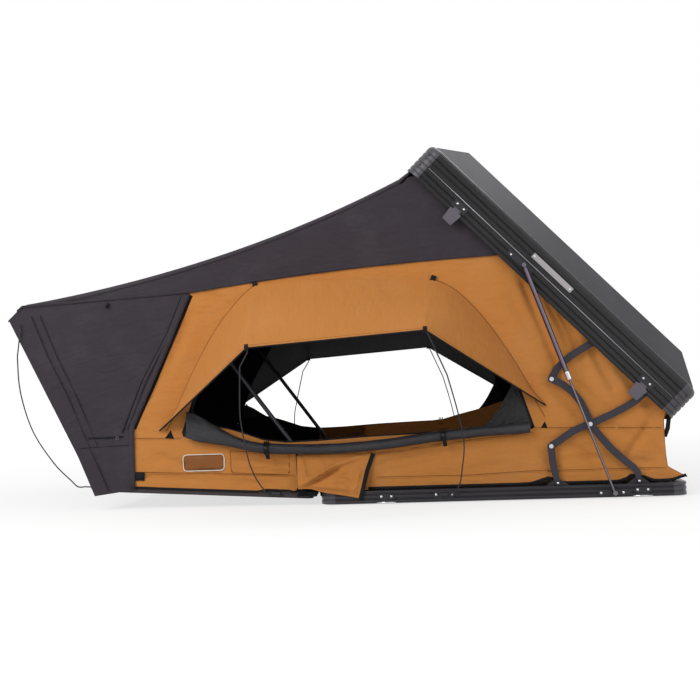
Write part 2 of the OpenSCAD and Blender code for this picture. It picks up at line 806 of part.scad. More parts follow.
module lid_seal() {
  module seal_side() {
    translate([-straight_l / 2, -half_w, base_height + seat_gap])
      cube([straight_l, rail_wall, seal_height]);
  }
  color("#1c1c1e") lid_pose() {
    both_sides() seal_side();
    translate([half_l - rail_wall, -straight_w / 2, base_height + seat_gap])
      cube([rail_wall, straight_w, seal_height]);
  }
}

module lid_link_brackets() {
  plate_w = 56;
  eye = 16;
  hang_z = lid_top_z - rail_wall - seat_gap;
  module hanger(s, p, y_outer, hole) {
    place = [half_l - s, base_height + p];
    difference() {
      union() {
        stand(y_outer + arm_thickness, arm_thickness) translate(place) circle(eye);
        stand(y_outer + arm_thickness, arm_thickness) polygon([
          [place[0] - eye, place[1]], [place[0] + eye, place[1]],
          [place[0] + plate_w / 2, hang_z], [place[0] - plate_w / 2, hang_z]
        ]);
      }
      if (hole) stand(y_outer + arm_thickness + 1, arm_thickness + 2) translate(place) circle(seated_hole);
    }
  }
  module flush_pin(s, p, y_from, y_to) {
    translate([half_l - s, y_from, base_height + p]) rotate([-90, 0, 0])
      cylinder(r = bolt_radius, h = y_to - y_from);
  }
  color("#303035") lid_pose() both_sides() {
    hanger(cross_lid_s, cross_lid_p, layer3_y, false);
    hanger(link_lid_s, link_lid_p, layer4_y, true);
    flush_pin(link_lid_s, link_lid_p, layer3_y, layer4_y + arm_thickness);
  }
}

module strut_lid_brackets() {
  plate_w = 125;
  plate_h = 24;
  ahead_of_stud = plate_w * 0.66;
  color("#303035") lid_pose() both_sides() {
    translate([half_l - strut_lid_s - ahead_of_stud, -half_w - 4, base_height + strut_lid_p - plate_h / 2])
      cube([plate_w, 4, plate_h]);
    ball_stud([half_l - strut_lid_s, base_height + strut_lid_p]);
  }
}

module bare_plate() {
  plate_w = 209;
  plate_h = 22;
  plate_s = strut_lid_s + 2;
  color("#8b8b90") lid_pose()
    translate([half_l - plate_s, -half_w - 2, lid_low + lid_rail_height * 0.545])
      cube([plate_w, 2, plate_h]);
}

// Hasps: a plate that hangs from a knuckle on the lid's rail
hasp_plate = 4;
hasp_knuckle = 4;
hasp_axis_z = lid_low + 16;
hasp_axis_y = -half_w - 3 - hasp_knuckle;

module hasp_mounts() {
  color("#303035") lid_pose() both_sides() for (x = [hasp_x_front, hasp_x_rear]) {
    translate([x - hasp_width / 2, -half_w - 3, hasp_axis_z - 2]) cube([hasp_width, 3, 34]);
    for (side = [-1, 1]) translate([x + side * hasp_width * 0.36, hasp_axis_y, hasp_axis_z]) rotate([0, 90, 0])
      cylinder(r = hasp_knuckle, h = hasp_width * 0.2, center = true);
    translate([x, hasp_axis_y, hasp_axis_z]) rotate([0, 90, 0])
      cylinder(r = 1.6, h = hasp_width * 0.9, center = true);
  }
}

module hasp(x) {
  eye = hasp_width * 0.48;
  wide = hasp_width * 0.44;
  narrow = hasp_width * 0.34;
  flare = hasp_knuckle + 5;
  outline = [
    [-eye / 2, 0], [eye / 2, 0], [eye / 2, -flare + 3], [wide, -flare], [narrow, -hasp_length],
    [-narrow, -hasp_length], [-wide, -flare], [-eye / 2, -flare + 3]
  ];
  lid_pose() difference() {
    union() {
      translate([x, 0, hasp_axis_z]) stand(hasp_axis_y + hasp_plate / 2, hasp_plate) polygon(outline);
      translate([x, hasp_axis_y, hasp_axis_z]) rotate([0, 90, 0])
        cylinder(r = hasp_knuckle, h = eye, center = true);
    }
    translate([x, hasp_axis_y, hasp_axis_z]) rotate([0, 90, 0])
      cylinder(r = 1.6 + pivot_gap, h = eye + 2, center = true);
  }
}

module hasp_front_near() {
  color("#6a646c") hasp(hasp_x_front);
}

module hasp_rear_near() {
  color("#6a646c") hasp(hasp_x_rear);
}

module hasp_front_far() {
  color("#6a646c") mirror([0, 1, 0]) hasp(hasp_x_front);
}

module hasp_rear_far() {
  color("#6a646c") mirror([0, 1, 0]) hasp(hasp_x_rear);
}

// Gas strut: a line from its ball on the lid to its ball on the base
strut_turn = atan2(strut_foot[1] - strut_top[1], strut_foot[0] - strut_top[0]);
module strut_line() {
  translate([strut_top[0], strut_y, strut_top[1]]) rotate([0, -strut_turn, 0]) rotate([0, 90, 0]) children();
}

module strut_end() {
  rotate([90, 0, 0]) cylinder(r = 9, h = 20, center = true);
}

module strut_tube() {
  start = 14;
  strut_line() difference() {
    union() {
      strut_end();
      cylinder(r = strut_rod_radius, h = start + 1);
      translate([0, 0, start]) cylinder(r = strut_tube_radius, h = strut_tube_length - start);
    }
    translate([0, 0, 40]) cylinder(r = strut_rod_radius + pivot_gap, h = strut_tube_length);
  }
}

module strut_rod() {
  inside = 22;
  strut_line() {
    translate([0, 0, strut_tube_length - inside])
      cylinder(r = strut_rod_radius, h = strut_length - strut_tube_length + inside);
    translate([0, 0, strut_length]) strut_end();
  }
}

module strut_tube_near() {
  color("#3a3a3e") strut_tube();
}

module strut_tube_far() {
  color("#3a3a3e") mirror([0, 1, 0]) strut_tube();
}

module strut_rod_near() {
  color("silver") strut_rod();
}

module strut_rod_far() {
  color("silver") mirror([0, 1, 0]) strut_rod();
}

// Fold-out floor, drawn around its hinge axis
floor_mid_x = -floor_gap - floor_length / 2;
floor_low = -floor_drop - floor_thickness;
floor_corner = 30;

module floor_frame() {
  groove_z = floor_thickness * 0.45;
  color("silver") floor_pose() translate([floor_mid_x, 0, floor_low]) difference() {
    rounded_plate(floor_length, 2 * floor_half, floor_corner, floor_thickness);
    translate([0, 0, -1])
      rounded_plate(floor_length - 2 * floor_rail, 2 * floor_half - 2 * floor_rail, 10, floor_thickness + 2);
    for (side = [-1, 1])
      translate([-floor_length / 2 + floor_corner, side * floor_half - 2, groove_z])
        cube([floor_length - 2 * floor_corner, 4, 4]);
  }
}

module floor_panel() {
  panel = 18;
  inset = floor_rail + 0.15;
  color("gainsboro") floor_pose() translate([floor_mid_x, 0, -floor_drop - panel])
    rounded_plate(floor_length - 2 * inset, 2 * floor_half - 2 * inset, 10, panel);
}

module floor_hinge_leaves() {
  leaf = floor_drop - knuckle_radius + 0.5;
  leaf_length = 75;
  neck = knuckle_radius + 3;
  color("silver") floor_pose() for (y = hinge_places) {
    difference() {
      union() {
        translate([0, y, 0]) rotate([90, 0, 0]) cylinder(r = knuckle_radius, h = knuckle_length - 0.5, center = true);
        translate([-neck, y - knuckle_length / 2 + 0.5, -floor_drop]) cube([neck, knuckle_length - 1, leaf]);
        translate([-leaf_length, y - hinge_width / 2, -floor_drop]) cube([leaf_length - neck, hinge_width, leaf]);
      }
      translate([0, y, 0]) rotate([90, 0, 0]) cylinder(r = 3 + pivot_gap, h = knuckle_length + 2, center = true);
    }
  }
}

module floor_rod_sockets() {
  plate = 3;
  color("#303035") both_sides() floor_pose() {
    translate([side_socket_along - 30, -floor_half - plate, floor_low + 6]) cube([60, plate, 22]);
    translate([side_socket_along, side_socket_y, socket_up]) rod_socket(-90);
    translate([floor_end - plate, end_socket_y - 16, floor_low + 6]) cube([plate, 32, 22]);
    translate([floor_end - 18, end_socket_y, socket_up]) rod_socket(-90);
  }
}

module floor_mattress() {
  margin = 24;
  color("#b9b3a8") floor_pose() translate([floor_mid_x - 20, 0, -floor_drop + seat_gap])
    pad(floor_length - 140, 2 * floor_half - 2 * margin, floor_mattress_height, mattress_crown);
}

function floor_top(x) = hinge_z - floor_drop / cos(floor_rise) + (hinge_x - x) * tan(floor_rise);

module wall_front() {
  lift = seat_gap + 0.2;
  difference() {
    stand(canvas_y, canvas_thickness) polygon([
      [split_x, skirt_split[1] + 40], skirt_corner + [45, 30], skirt_corner + [-22, -10], canopy_knee + [-18, 0],
      [canopy_foot_rear[0] - 18, floor_top(canopy_foot_rear[0] - 18) + lift],
      [hinge_x - floor_gap - 60, floor_top(hinge_x - floor_gap - 60) + lift],
      [hinge_x - 40, base_height + 30], [split_x, base_height + 30]
    ]);
    stand(canvas_y + 1, canvas_thickness + 2) polygon(window_front);
  }
}

module wall_front_near() {
  color("peru") wall_front();
}

module wall_front_far() {
  color("peru") mirror([0, 1, 0]) wall_front();
}

// Strip of cloth that follows a line of [x, z] places, from side to side
module cross_sheet(line, half, thickness) {
  count = len(line);
  stand(half, 2 * half) polygon(concat(
    line, [for (i = [count - 1:-1:0]) line[i] + [0, -thickness]]
  ));
}

module canopy() {
  front_half = -fly_y;
  side_outline = [
    skirt_corner, fly_end + [0, -14], canopy_tip + [4, 0], canopy_shin, canopy_foot_front, canopy_foot_rear,
    canopy_knee
  ];
  shin_in = canopy_shin + [fly_thickness, 0];
  hem_in = canopy_hem + [fly_thickness, 0];
  color("#3d393f") {
    both_sides() stand(fly_y, fly_thickness) polygon(side_outline);
    stand(front_half, 2 * front_half) polygon([
      canopy_tip + [4, 0], canopy_shin, canopy_hem, hem_in, shin_in, canopy_tip + [4 + fly_thickness, 0]
    ]);
  }
}

module fly_front() {
  count = len(fly_front_line);
  under = [for (p = fly_front_line) p + [0, -fly_thickness]];
  outline = concat(under, [fly_end + [0, -13], skirt_corner + [0, 1], skirt_split]);
  tip_in = canopy_tip + [4, 1];
  color("#3f3a40") {
    both_sides() stand(fly_y, fly_thickness) polygon(outline);
    cross_sheet(fly_front_line, -fly_y + fly_thickness, fly_thickness);
    stand(-fly_y + fly_thickness, 2 * (-fly_y + fly_thickness)) polygon([
      fly_end, canopy_tip + [0, 1], tip_in, fly_end + [1, -fly_thickness]
    ]);
  }
}

module fly_rear() {
  under = [for (p = fly_rear_line) p + [0, -fly_thickness]];
  outline = concat([skirt_head], under, [skirt_split, skirt_lid]);
  tuck_half = straight_w / 2 - 2;
  color("#3f3a40") {
    both_sides() stand(fly_y, fly_thickness) polygon(outline);
    cross_sheet(fly_rear_line, -fly_y + fly_thickness, fly_thickness);
    cross_sheet([fly_tuck, fly_start], tuck_half, fly_thickness);
  }
}

// Ruled sheet between two rows of points, thickened along a direction
module ruled_sheet(row_a, row_b, thick) {
  n = len(row_a);
  points = concat(row_a, row_b, [for (p = row_a) p + thick], [for (p = row_b) p + thick]);
  faces = concat(
    [for (i = [0:n - 2]) [i, i + 1, n + i + 1]],
    [for (i = [0:n - 2]) [i, n + i + 1, n + i]],
    [for (i = [0:n - 2]) [2 * n + i, 3 * n + i + 1, 2 * n + i + 1]],
    [for (i = [0:n - 2]) [2 * n + i, 3 * n + i, 3 * n + i + 1]],
    [for (i = [0:n - 2]) [i, 2 * n + i, 2 * n + i + 1]],
    [for (i = [0:n - 2]) [i, 2 * n + i + 1, i + 1]],
    [for (i = [0:n - 2]) [n + i, n + i + 1, 3 * n + i + 1]],
    [for (i = [0:n - 2]) [n + i, 3 * n + i + 1, 3 * n + i]],
    [[0, n, 3 * n], [0, 3 * n, 2 * n]],
    [[n - 1, 3 * n - 1, 4 * n - 1], [n - 1, 4 * n - 1, 2 * n - 1]]
  );
  polyhedron(points, faces);
}

// Awning: from the seam on the wall out to its free edge, one stretch each side of the hinge line
function outer_edge(seam, corner) =
  let (n = len(seam), end = seam[n - 1], split_z = corner_front[1]
    + (corner_rear[1] - corner_front[1]) * (split_x - corner_front[0]) / (corner_rear[0] - corner_front[0]))
    concat(
      [[split_x, awning_y - awning_reach, split_z], [corner[0], awning_y - awning_reach, corner[1]]],
      [for (i = [2:n - 1]) let (t = (i - 1) / (n - 2) * 0.97)
        [
          corner[0] + (end[0] - corner[0]) * t, awning_y - awning_reach * (1 - t),
          corner[1] + (end[1] - corner[1]) * t - 4 * t
        ]]
    );

module awning(seam, corner) {
  row_wall = [for (p = seam) [p[0], awning_y, p[1]]];
  ruled_sheet(row_wall, outer_edge(seam, corner), [0, 0, -canvas_thickness]);
}

module awning_front_near() {
  color("peru") awning(seam_front, corner_front);
}

module awning_front_far() {
  color("peru") mirror([0, 1, 0]) awning(seam_front, corner_front);
}

module awning_rear_near() {
  color("peru") awning(seam_rear, corner_rear);
}

module awning_rear_far() {
  color("peru") mirror([0, 1, 0]) awning(seam_rear, corner_rear);
}

// Tube swept along a route
function unit(v) = v / norm(v);
module tube(route, radius, sides, across) {
  n = len(route);
  function heading(i) = unit(route[min(i + 1, n - 1)] - route[max(i - 1, 0)]);
  points = concat(
    [for (i = [0:n - 1], k = [0:sides - 1])
      let (u = unit(cross(heading(i), across)), v = cross(u, heading(i)), a = 360 * k / sides)
        route[i] + radius * (u * cos(a) + v * sin(a))],
    [route[0], route[n - 1]]
  );
  function at(i, k) = i * sides + (k % sides);
  faces = concat(
    [for (i = [0:n - 2], k = [0:sides - 1]) [at(i, k), at(i + 1, k + 1), at(i + 1, k)]],
    [for (i = [0:n - 2], k = [0:sides - 1]) [at(i, k), at(i, k + 1), at(i + 1, k + 1)]],
    [for (k = [0:sides - 1]) [n * sides, at(0, k + 1), at(0, k)]],
    [for (k = [0:sides - 1]) [n * sides + 1, at(n - 1, k), at(n - 1, k + 1)]]
  );
  polyhedron(points, faces);
}

module window_roll(route) {
  tube([for (p = route) [p[0], roll_y, p[1]]], roll_radius, 12, [0, 1, 0]);
}

// Rolled cover and rods on one side of the hinge line
module window_gear_front() {
  window_roll(roll_route);
  tube(window_rod_front, rod_radius, 8, [0.8, 0.6, 0]);
  tube(canopy_rod, rod_radius, 8, [0, 1, 0]);
}

module window_gear_rear() {
  window_roll(roll_route_rear);
  tube(window_rod_rear, rod_radius, 8, [0, 0.6, 0.8]);
}

module window_gear_front_near() {
  color("#2f2f34") window_gear_front();
}

module window_gear_front_far() {
  color("#2f2f34") mirror([0, 1, 0]) window_gear_front();
}

module window_gear_rear_near() {
  color("#2f2f34") window_gear_rear();
}

module window_gear_rear_far() {
  color("#2f2f34") mirror([0, 1, 0]) window_gear_rear();
}

// Bow: two legs and a crossbar with round corners, leaning forward
module bow() {
  tang = 10;
  leg_start = 34;
  leg_top = bow_length - bow_corner;
  color("#434347") translate([bow_x, 0, bow_z]) rotate([0, -bow_lean, 0]) {
    both_sides() translate([0, -bow_half, 0]) {
      difference() {
        union() {
          rotate([90, 0, 0]) cylinder(r = bow_eye, h = tang, center = true);
          translate([-bow_tube, -tang / 2, 0]) cube([2 * bow_tube, tang, leg_start + 4]);
        }
        rotate([90, 0, 0]) cylinder(r = 4 + pivot_gap, h = tang + 2, center = true);
      }
      translate([0, 0, leg_start]) cylinder(r = bow_tube, h = leg_top - leg_start);
      translate([0, bow_corner, leg_top]) rotate([0, -90, 0]) rotate([0, 0, -90])
        rotate_extrude(angle = 90) translate([bow_corner, 0]) circle(bow_tube);
    }
    translate([0, 0, bow_length]) rotate([90, 0, 0])
      cylinder(r = bow_tube, h = 2 * (bow_half - bow_corner), center = true);
  }
}

base_side_rails();
base_end_rails();
base_corner_caps();
base_floor_panel();
mounting_channels();
base_link_brackets();
base_catches();
strut_base_brackets();
base_rod_sockets();
bow_brackets();
base_hinge_leaves();
base_mattress();
wall_rear_near();
wall_rear_far();
back_wall();
fly_rear();
awning_rear_near();
awning_rear_far();
window_gear_rear_near();
window_gear_rear_far();
long_arm_near();
long_arm_far();
scissor_bolts();
lower_links();
cross_arm_near();
cross_arm_far();
elbow_bolts();
upper_link_near();
upper_link_far();
lid_side_rails();
lid_end_rails();
lid_corner_caps();
lid_top();
lid_seal();
lid_link_brackets();
strut_lid_brackets();
bare_plate();
hasp_mounts();
hasp_front_near();
hasp_rear_near();
hasp_front_far();
hasp_rear_far();
strut_tube_near();
strut_tube_far();
strut_rod_near();
strut_rod_far();
floor_frame();
floor_panel();
floor_hinge_leaves();
floor_rod_sockets();
floor_mattress();
wall_front_near();
wall_front_far();
canopy();
fly_front();
awning_front_near();
awning_front_far();
window_gear_front_near();
window_gear_front_far();
bow();
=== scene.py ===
"""Looks of a hard-shell roof top tent: canvas, fly, canopy, awnings, rods and finishes on the frame."""

import json
import logging
import math
from dataclasses import dataclass, field
from enum import Enum
from typing import Callable, Iterable, Iterator, Sequence

import bpy
from bpy.types import Material, Node, NodeSocket, NodeTree, Object
from mathutils import Matrix, Vector, noise
from mathutils.geometry import delaunay_2d_cdt

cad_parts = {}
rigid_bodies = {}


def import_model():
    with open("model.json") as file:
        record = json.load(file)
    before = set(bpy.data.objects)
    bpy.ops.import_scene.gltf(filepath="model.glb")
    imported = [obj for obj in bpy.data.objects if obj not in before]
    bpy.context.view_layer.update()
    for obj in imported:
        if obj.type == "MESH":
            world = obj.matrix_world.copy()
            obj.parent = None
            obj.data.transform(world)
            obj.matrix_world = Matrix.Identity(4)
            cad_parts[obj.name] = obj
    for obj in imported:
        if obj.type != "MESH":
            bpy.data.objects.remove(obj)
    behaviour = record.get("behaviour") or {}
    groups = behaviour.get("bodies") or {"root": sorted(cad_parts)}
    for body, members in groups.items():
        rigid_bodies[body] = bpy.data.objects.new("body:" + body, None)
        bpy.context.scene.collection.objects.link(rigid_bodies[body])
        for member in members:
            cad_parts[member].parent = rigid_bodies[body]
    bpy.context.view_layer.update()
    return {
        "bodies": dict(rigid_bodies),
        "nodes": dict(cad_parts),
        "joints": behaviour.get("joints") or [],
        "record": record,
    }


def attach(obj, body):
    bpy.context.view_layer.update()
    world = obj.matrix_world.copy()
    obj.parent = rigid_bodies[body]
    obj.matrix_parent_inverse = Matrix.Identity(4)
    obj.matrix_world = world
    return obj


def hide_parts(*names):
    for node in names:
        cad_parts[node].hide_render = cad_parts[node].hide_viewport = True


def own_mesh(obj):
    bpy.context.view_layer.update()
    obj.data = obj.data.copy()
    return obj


LOG = logging.getLogger("roof_tent")
Pair = tuple[float, float]
Triple = tuple[float, float, float]
Rows = list[list[Triple]]
MM = 0.001

# The model's own lines and turns, in millimetres and radians, as they follow from the part's source.
SPLIT = -731.0
HINGE_Z = 64.0
FLOOR_DROP = 10.0
LID_REAR = (674.0, 292.0)
CANVAS_Y = -616.0
FLY_Y = -619.8
FLOOR_SLOPE = math.radians(3.4)
FLOOR_NORMAL = (math.sin(FLOOR_SLOPE), 0.0, math.cos(FLOOR_SLOPE))
LID_TURN = math.radians(46.0)

# Cosine and sine of the angles at which flattened cloth lies to the tray and to the floor.
TUCK = (math.cos(math.radians(5.0)), math.sin(math.radians(5.0)))
LEAN = (math.cos(math.radians(7.0)), math.sin(math.radians(7.0)))

# Shares along X, or along the floor's normal, and outwards in which a gusset flattens.
GUSSET_REAR = (-0.35, 0.937)
GUSSET_FRONT = (0.893, 0.45)

# Shares of its flat size that a sheet's stated area has at least, and above which none is stated.
LEAST_SHARE = 0.301
FULL_SHARE = 0.995

NEAR_OUT = (0.0, -1.0, 0.0)
WHITE = (1.0, 1.0, 1.0, 1.0)

# Rear edge of the side walls, from the tray's end up to the lid, as [x, z].
REAR_EDGE = ((700, 84), (675, 98), (652, 112), (648, 150), (645, 214), (645, 300))


class Side(Enum):
    """The two sides of the tent."""

    NEAR = "near"
    FAR = "far"

    @property
    def out(self) -> float:
        """Sign of the Y direction that leads out of the tent on this side."""
        return -1.0 if self is Side.NEAR else 1.0


class Half(Enum):
    """The two stretches of cloth, one on each side of the floor's hinge line."""

    FRONT = "front"
    REAR = "rear"


def tag(half: Half, side: Side) -> str:
    """Ending of the names of a stretch's pieces."""
    return f"{half.value}_{side.value}"


def lid_point(s: float, p: float) -> Pair:
    """Place on the open lid, s from its rear end and p above its lower edge."""
    c, n = math.cos(LID_TURN), math.sin(LID_TURN)
    return LID_REAR[0] - s * c + p * n, LID_REAR[1] + s * n + p * c


def floor_top(x: float) -> float:
    """Height of the fold-out floor's top at x."""
    return HINGE_Z - FLOOR_DROP / math.cos(FLOOR_SLOPE) + (SPLIT - x) * math.tan(FLOOR_SLOPE)


def floor_at(run: float, y: float, up: float) -> Triple:
    """Place on the sloping floor, from its hinge axis."""
    c, n = math.cos(FLOOR_SLOPE), math.sin(FLOOR_SLOPE)
    return SPLIT + run * c + up * n, y, HINGE_Z - run * n + up * c


def metres(place: Sequence[float]) -> tuple[float, ...]:
    """A place in metres, from one in millimetres."""
    return tuple(c * MM for c in place)


def sided(path: Sequence[Triple], side: Side) -> list[Triple]:
    """Places on the side asked for; they are drawn on the near side."""
    return [(x, -y * side.out, z) for x, y, z in path]


def mix(a: Sequence[float], b: Sequence[float], t: float) -> tuple[float, ...]:
    """Place a share t of the way from a to b."""
    return tuple(p + (q - p) * t for p, q in zip(a, b))


def ease(t: float) -> float:
    """Smooth step from 0 to 1."""
    t = min(max(t, 0.0), 1.0)
    return t * t * (3.0 - 2.0 * t)


def along(path: Sequence[Sequence[float]], share: float) -> tuple[float, ...]:
    """Place at a share of a polyline's length.

    Args:
        path: The polyline's places.
        share: Share of its length, from 0 to 1.

    Returns:
        The place.
    """
    runs = [math.dist(a, b) for a, b in zip(path, path[1:])]
    left = share * sum(runs)
    for (a, b), run in zip(zip(path, path[1:]), runs):
        if left <= run:
            return mix(a, b, left / run if run else 0.0)
        left -= run
    return tuple(path[-1])


def resample(path: Sequence[Sequence[float]], count: int) -> list[tuple[float, ...]]:
    """Evenly spaced places along a polyline."""
    return [along(path, i / (count - 1)) for i in range(count)]


def spaced(path: Sequence[Pair], spacing: float) -> list[tuple[float, ...]]:
    """Places along a polyline, about so far apart and at least three."""
    run = sum(math.dist(a, b) for a, b in zip(path, path[1:]))
    return resample(path, max(3, int(run / spacing)))


def surface(down: int, across: int, place: Callable[[float, float], Triple]) -> Rows:
    """Rows of places, over shares from 0 to 1 down the rows and across them."""
    return [[place(i / down, k / across) for k in range(across + 1)] for i in range(down + 1)]


def rounded(path: Sequence[Sequence[float]], per: int = 6) -> list[tuple[float, ...]]:
    """Smooth curve through a list of places.

    Args:
        path: The places.
        per: Places worked out for each stretch.

    Returns:
        The curve's places.
    """
    out: list[tuple[float, ...]] = []
    last = len(path) - 1
    for i in range(last):
        a, b, c, d = path[max(i - 1, 0)], path[i], path[i + 1], path[min(i + 2, last)]
        for k in range(per):
            t = k / per
            out.append(tuple(
                0.5 * (2 * q + (r - p) * t + (2 * p - 5 * q + 4 * r - s) * t * t
                       + (3 * q - p - 3 * r + s) * t ** 3)
                for p, q, r, s in zip(a, b, c, d)
            ))
    out.append(tuple(path[-1]))
    return out


def height_at(path: Sequence[Pair], x: float) -> float:
    """Height of a line of [x, z] places at x; the places may run either way.

    Args:
        path: The line.
        x: Where to look.

    Returns:
        The height; past an end, the end's.
    """
    for a, b in zip(path, path[1:]):
        low, high = min(a[0], b[0]), max(a[0], b[0])
        if low <= x <= high and high > low:
            return a[1] + (b[1] - a[1]) * (x - a[0]) / (b[0] - a[0])
    return path[0][1] if abs(x - path[0][0]) < abs(x - path[-1][0]) else path[-1][1]


def edges_of(loop: Sequence[Pair]) -> list[tuple[Pair, Pair]]:
    """Stretches of line round a closed outline."""
    return list(zip(loop, [*loop[1:], loop[0]]))


def inside(point: Pair, loop: Sequence[Pair]) -> bool:
    """Whether a flat place lies inside a closed outline.

    Args:
        point: The flat place.
        loop: The outline.

    Returns:
        Whether it is inside.
    """
    x, z = point
    odd = False
    for (ax, az), (bx, bz) in edges_of(loop):
        if (az > z) != (bz > z) and x < ax + (bx - ax) * (z - az) / (bz - az):
            odd = not odd
    return odd


def off_edge(point: Pair, a: Pair, b: Pair) -> float:
    """Distance from a flat place to a stretch of line.

    Args:
        point: The flat place.
        a: Start of the stretch.
        b: Its end.

    Returns:
        The distance.
    """
    dx, dz = b[0] - a[0], b[1] - a[1]
    run = dx * dx + dz * dz
    t = 0.0 if run == 0 else min(max(((point[0] - a[0]) * dx + (point[1] - a[1]) * dz) / run, 0.0), 1.0)
    return math.hypot(point[0] - a[0] - dx * t, point[1] - a[1] - dz * t)


@dataclass
class Shape:
    """Mesh data in metres: points, faces, one finish per face and one flat cloth place per point."""

    points: list[Vector] = field(default_factory=list)
    faces: list[tuple[int, ...]] = field(default_factory=list)
    finish: list[int] = field(default_factory=list)
    flat: list[Pair] = field(default_factory=list)
    normals: list[Vector] = field(default_factory=list)

    def add(self, other: "Shape", finish: int | None = None) -> "Shape":
        """Adds another shape's faces, under one finish if given.

        Args:
            other: The shape to add.
            finish: A finish for it, or None to keep its own.

        Returns:
            The shape itself.
        """
        base = len(self.points)
        self.points += other.points
        self.flat += other.flat or [(0.0, 0.0)] * len(other.points)
        self.faces += [tuple(i + base for i in f) for f in other.faces]
        self.finish += [finish if finish is not None else k for k in other.finish]
        return self

    def mirrored(self) -> "Shape":
        """The same shape on the other side of the tent."""
        flip = Vector((1.0, -1.0, 1.0))
        return Shape(
            [p * flip for p in self.points], [tuple(reversed(f)) for f in self.faces], list(self.finish),
            list(self.flat), [n * flip for n in self.normals],
        )

    def on(self, side: Side) -> "Shape":
        """The shape on the side asked for; it is drawn on the near side."""
        return self if side is Side.NEAR else self.mirrored()

    def loft(self, sides: int) -> "Shape":
        """Adds the faces between rings of points and closes both ends.

        Args:
            sides: Points of each ring.

        Returns:
            The shape itself.
        """
        last = len(self.points) // sides - 1
        for i in range(last):
            for k in range(sides):
                n = (k + 1) % sides
                self.faces.append((i * sides + k, i * sides + n, (i + 1) * sides + n, (i + 1) * sides + k))
        self.faces += [tuple(reversed(range(sides))), tuple(last * sides + k for k in range(sides))]
        self.finish = [0] * len(self.faces)
        return self

    def make(self, name: str, materials: Sequence[Material]) -> Object:
        """Makes the Blender object.

        Args:
            name: The object's name.
            materials: One material for each finish number.

        Returns:
            The object, at the origin.
        """
        mesh = bpy.data.meshes.new(name)
        mesh.from_pydata([tuple(p) for p in self.points], [], self.faces)
        for material in materials:
            mesh.materials.append(material)
        mesh.polygons.foreach_set("material_index", self.finish)
        mesh.polygons.foreach_set("use_smooth", [True] * len(self.faces))
        layer = mesh.uv_layers.new(name="cloth")
        flat = self.flat or [(0.0, 0.0)] * len(self.points)
        layer.uv.foreach_set("vector", [c for loop in mesh.loops for c in flat[loop.vertex_index]])
        mesh.update()
        if self.normals:
            mesh.normals_split_custom_set_from_vertices([tuple(n) for n in self.normals])
        obj = bpy.data.objects.new(name, mesh)
        bpy.context.scene.collection.objects.link(obj)
        return obj


@dataclass
class Sheet:
    """Open cloth surface in metres, with each point's place on the flat cloth."""

    points: list[Vector]
    faces: list[tuple[int, ...]]
    flat: list[Pair]
    normals: list[Vector] = field(default_factory=list)

    def weld(self) -> "Sheet":
        """Joins points that lie together and works out the normals."""
        seen: dict[tuple[int, ...], int] = {}
        new = [seen.setdefault(tuple(round(c * 1e5) for c in p), len(seen)) for p in self.points]
        first = {j: i for i, j in reversed(list(enumerate(new)))}
        self.points = [self.points[first[j]] for j in range(len(seen))]
        self.flat = [self.flat[first[j]] for j in range(len(seen))]
        faces = [tuple(dict.fromkeys(new[i] for i in f)) for f in self.faces]
        self.faces = [f for f in faces if len(f) > 2]
        sums = [Vector((0.0, 0.0, 0.0)) for _ in self.points]
        for f in self.faces:
            a, b, c = self.points[f[0]], self.points[f[1]], self.points[f[2]]
            n = (b - a).cross(c - a)
            if len(f) == 4:
                n = n + (c - a).cross(self.points[f[3]] - a)
            for i in f:
                sums[i] += n
        self.normals = [n.normalized() if n.length > 0 else Vector((0.0, -1.0, 0.0)) for n in sums]
        return self

    def area(self) -> float:
        """Area of one face of the cloth."""
        total = 0.0
        for f in self.faces:
            p = [self.points[i] for i in f]
            total += sum((p[k] - p[0]).cross(p[k + 1] - p[0]).length / 2 for k in range(1, len(p) - 1))
        return total

    def where(self, keep: Callable[[Vector], bool]) -> "Sheet":
        """The faces whose middle passes a test, with the whole sheet's normals.

        Args:
            keep: Test of a face's middle.

        Returns:
            A sheet of the faces kept.
        """
        kept = [f for f in self.faces if keep(sum((self.points[i] for i in f), Vector()) / len(f))]
        new = {old: k for k, old in enumerate(sorted({i for f in kept for i in f}))}
        return Sheet(
            [self.points[i] for i in new], [tuple(new[i] for i in f) for f in kept],
            [self.flat[i] for i in new], [self.normals[i] for i in new],
        )

    def half(self, half: Half) -> "Sheet":
        """The stretch on one side of the floor's hinge line."""
        front = half is Half.FRONT
        return self.where(lambda p: (p.x < SPLIT * MM) == front)

    def shell(self, thickness: float = 1.6, lined: Callable[[Vector], int] = lambda p: 1) -> Shape:
        """Closes the sheet into a thin shell.

        Args:
            thickness: Thickness in millimetres.
            lined: The finish of the inner face at a place.

        Returns:
            The shell, with its outer face first.
        """
        reach = thickness * MM / 2
        count = len(self.points)
        shape = Shape(
            [p + n * reach for p, n in zip(self.points, self.normals)]
            + [p - n * reach for p, n in zip(self.points, self.normals)],
            flat=self.flat * 2, normals=self.normals + [-n for n in self.normals],
        )
        edges: dict[tuple[int, int], int] = {}
        for f in self.faces:
            shape.faces += [f, tuple(i + count for i in reversed(f))]
            shape.finish += [0, int(lined(self.points[f[0]]))]
            for a, b in zip(f, (*f[1:], f[0])):
                edges[a, b] = 1
        for a, b in edges:
            if (b, a) not in edges:
                shape.faces.append((b, a, a + count, b + count))
                shape.finish.append(0)
        return shape

    def size(self) -> tuple[Pair, float]:
        """Width and length of the flat cut, and its area."""
        us, vs = [u for u, _ in self.flat], [v for _, v in self.flat]
        width, length = max(us) - min(us), max(vs) - min(vs)
        return (width, length), min(self.area(), width * length)


def unlined(_: Vector) -> int:
    """Finish of the inner face of cloth that is alike on both faces."""
    return 0


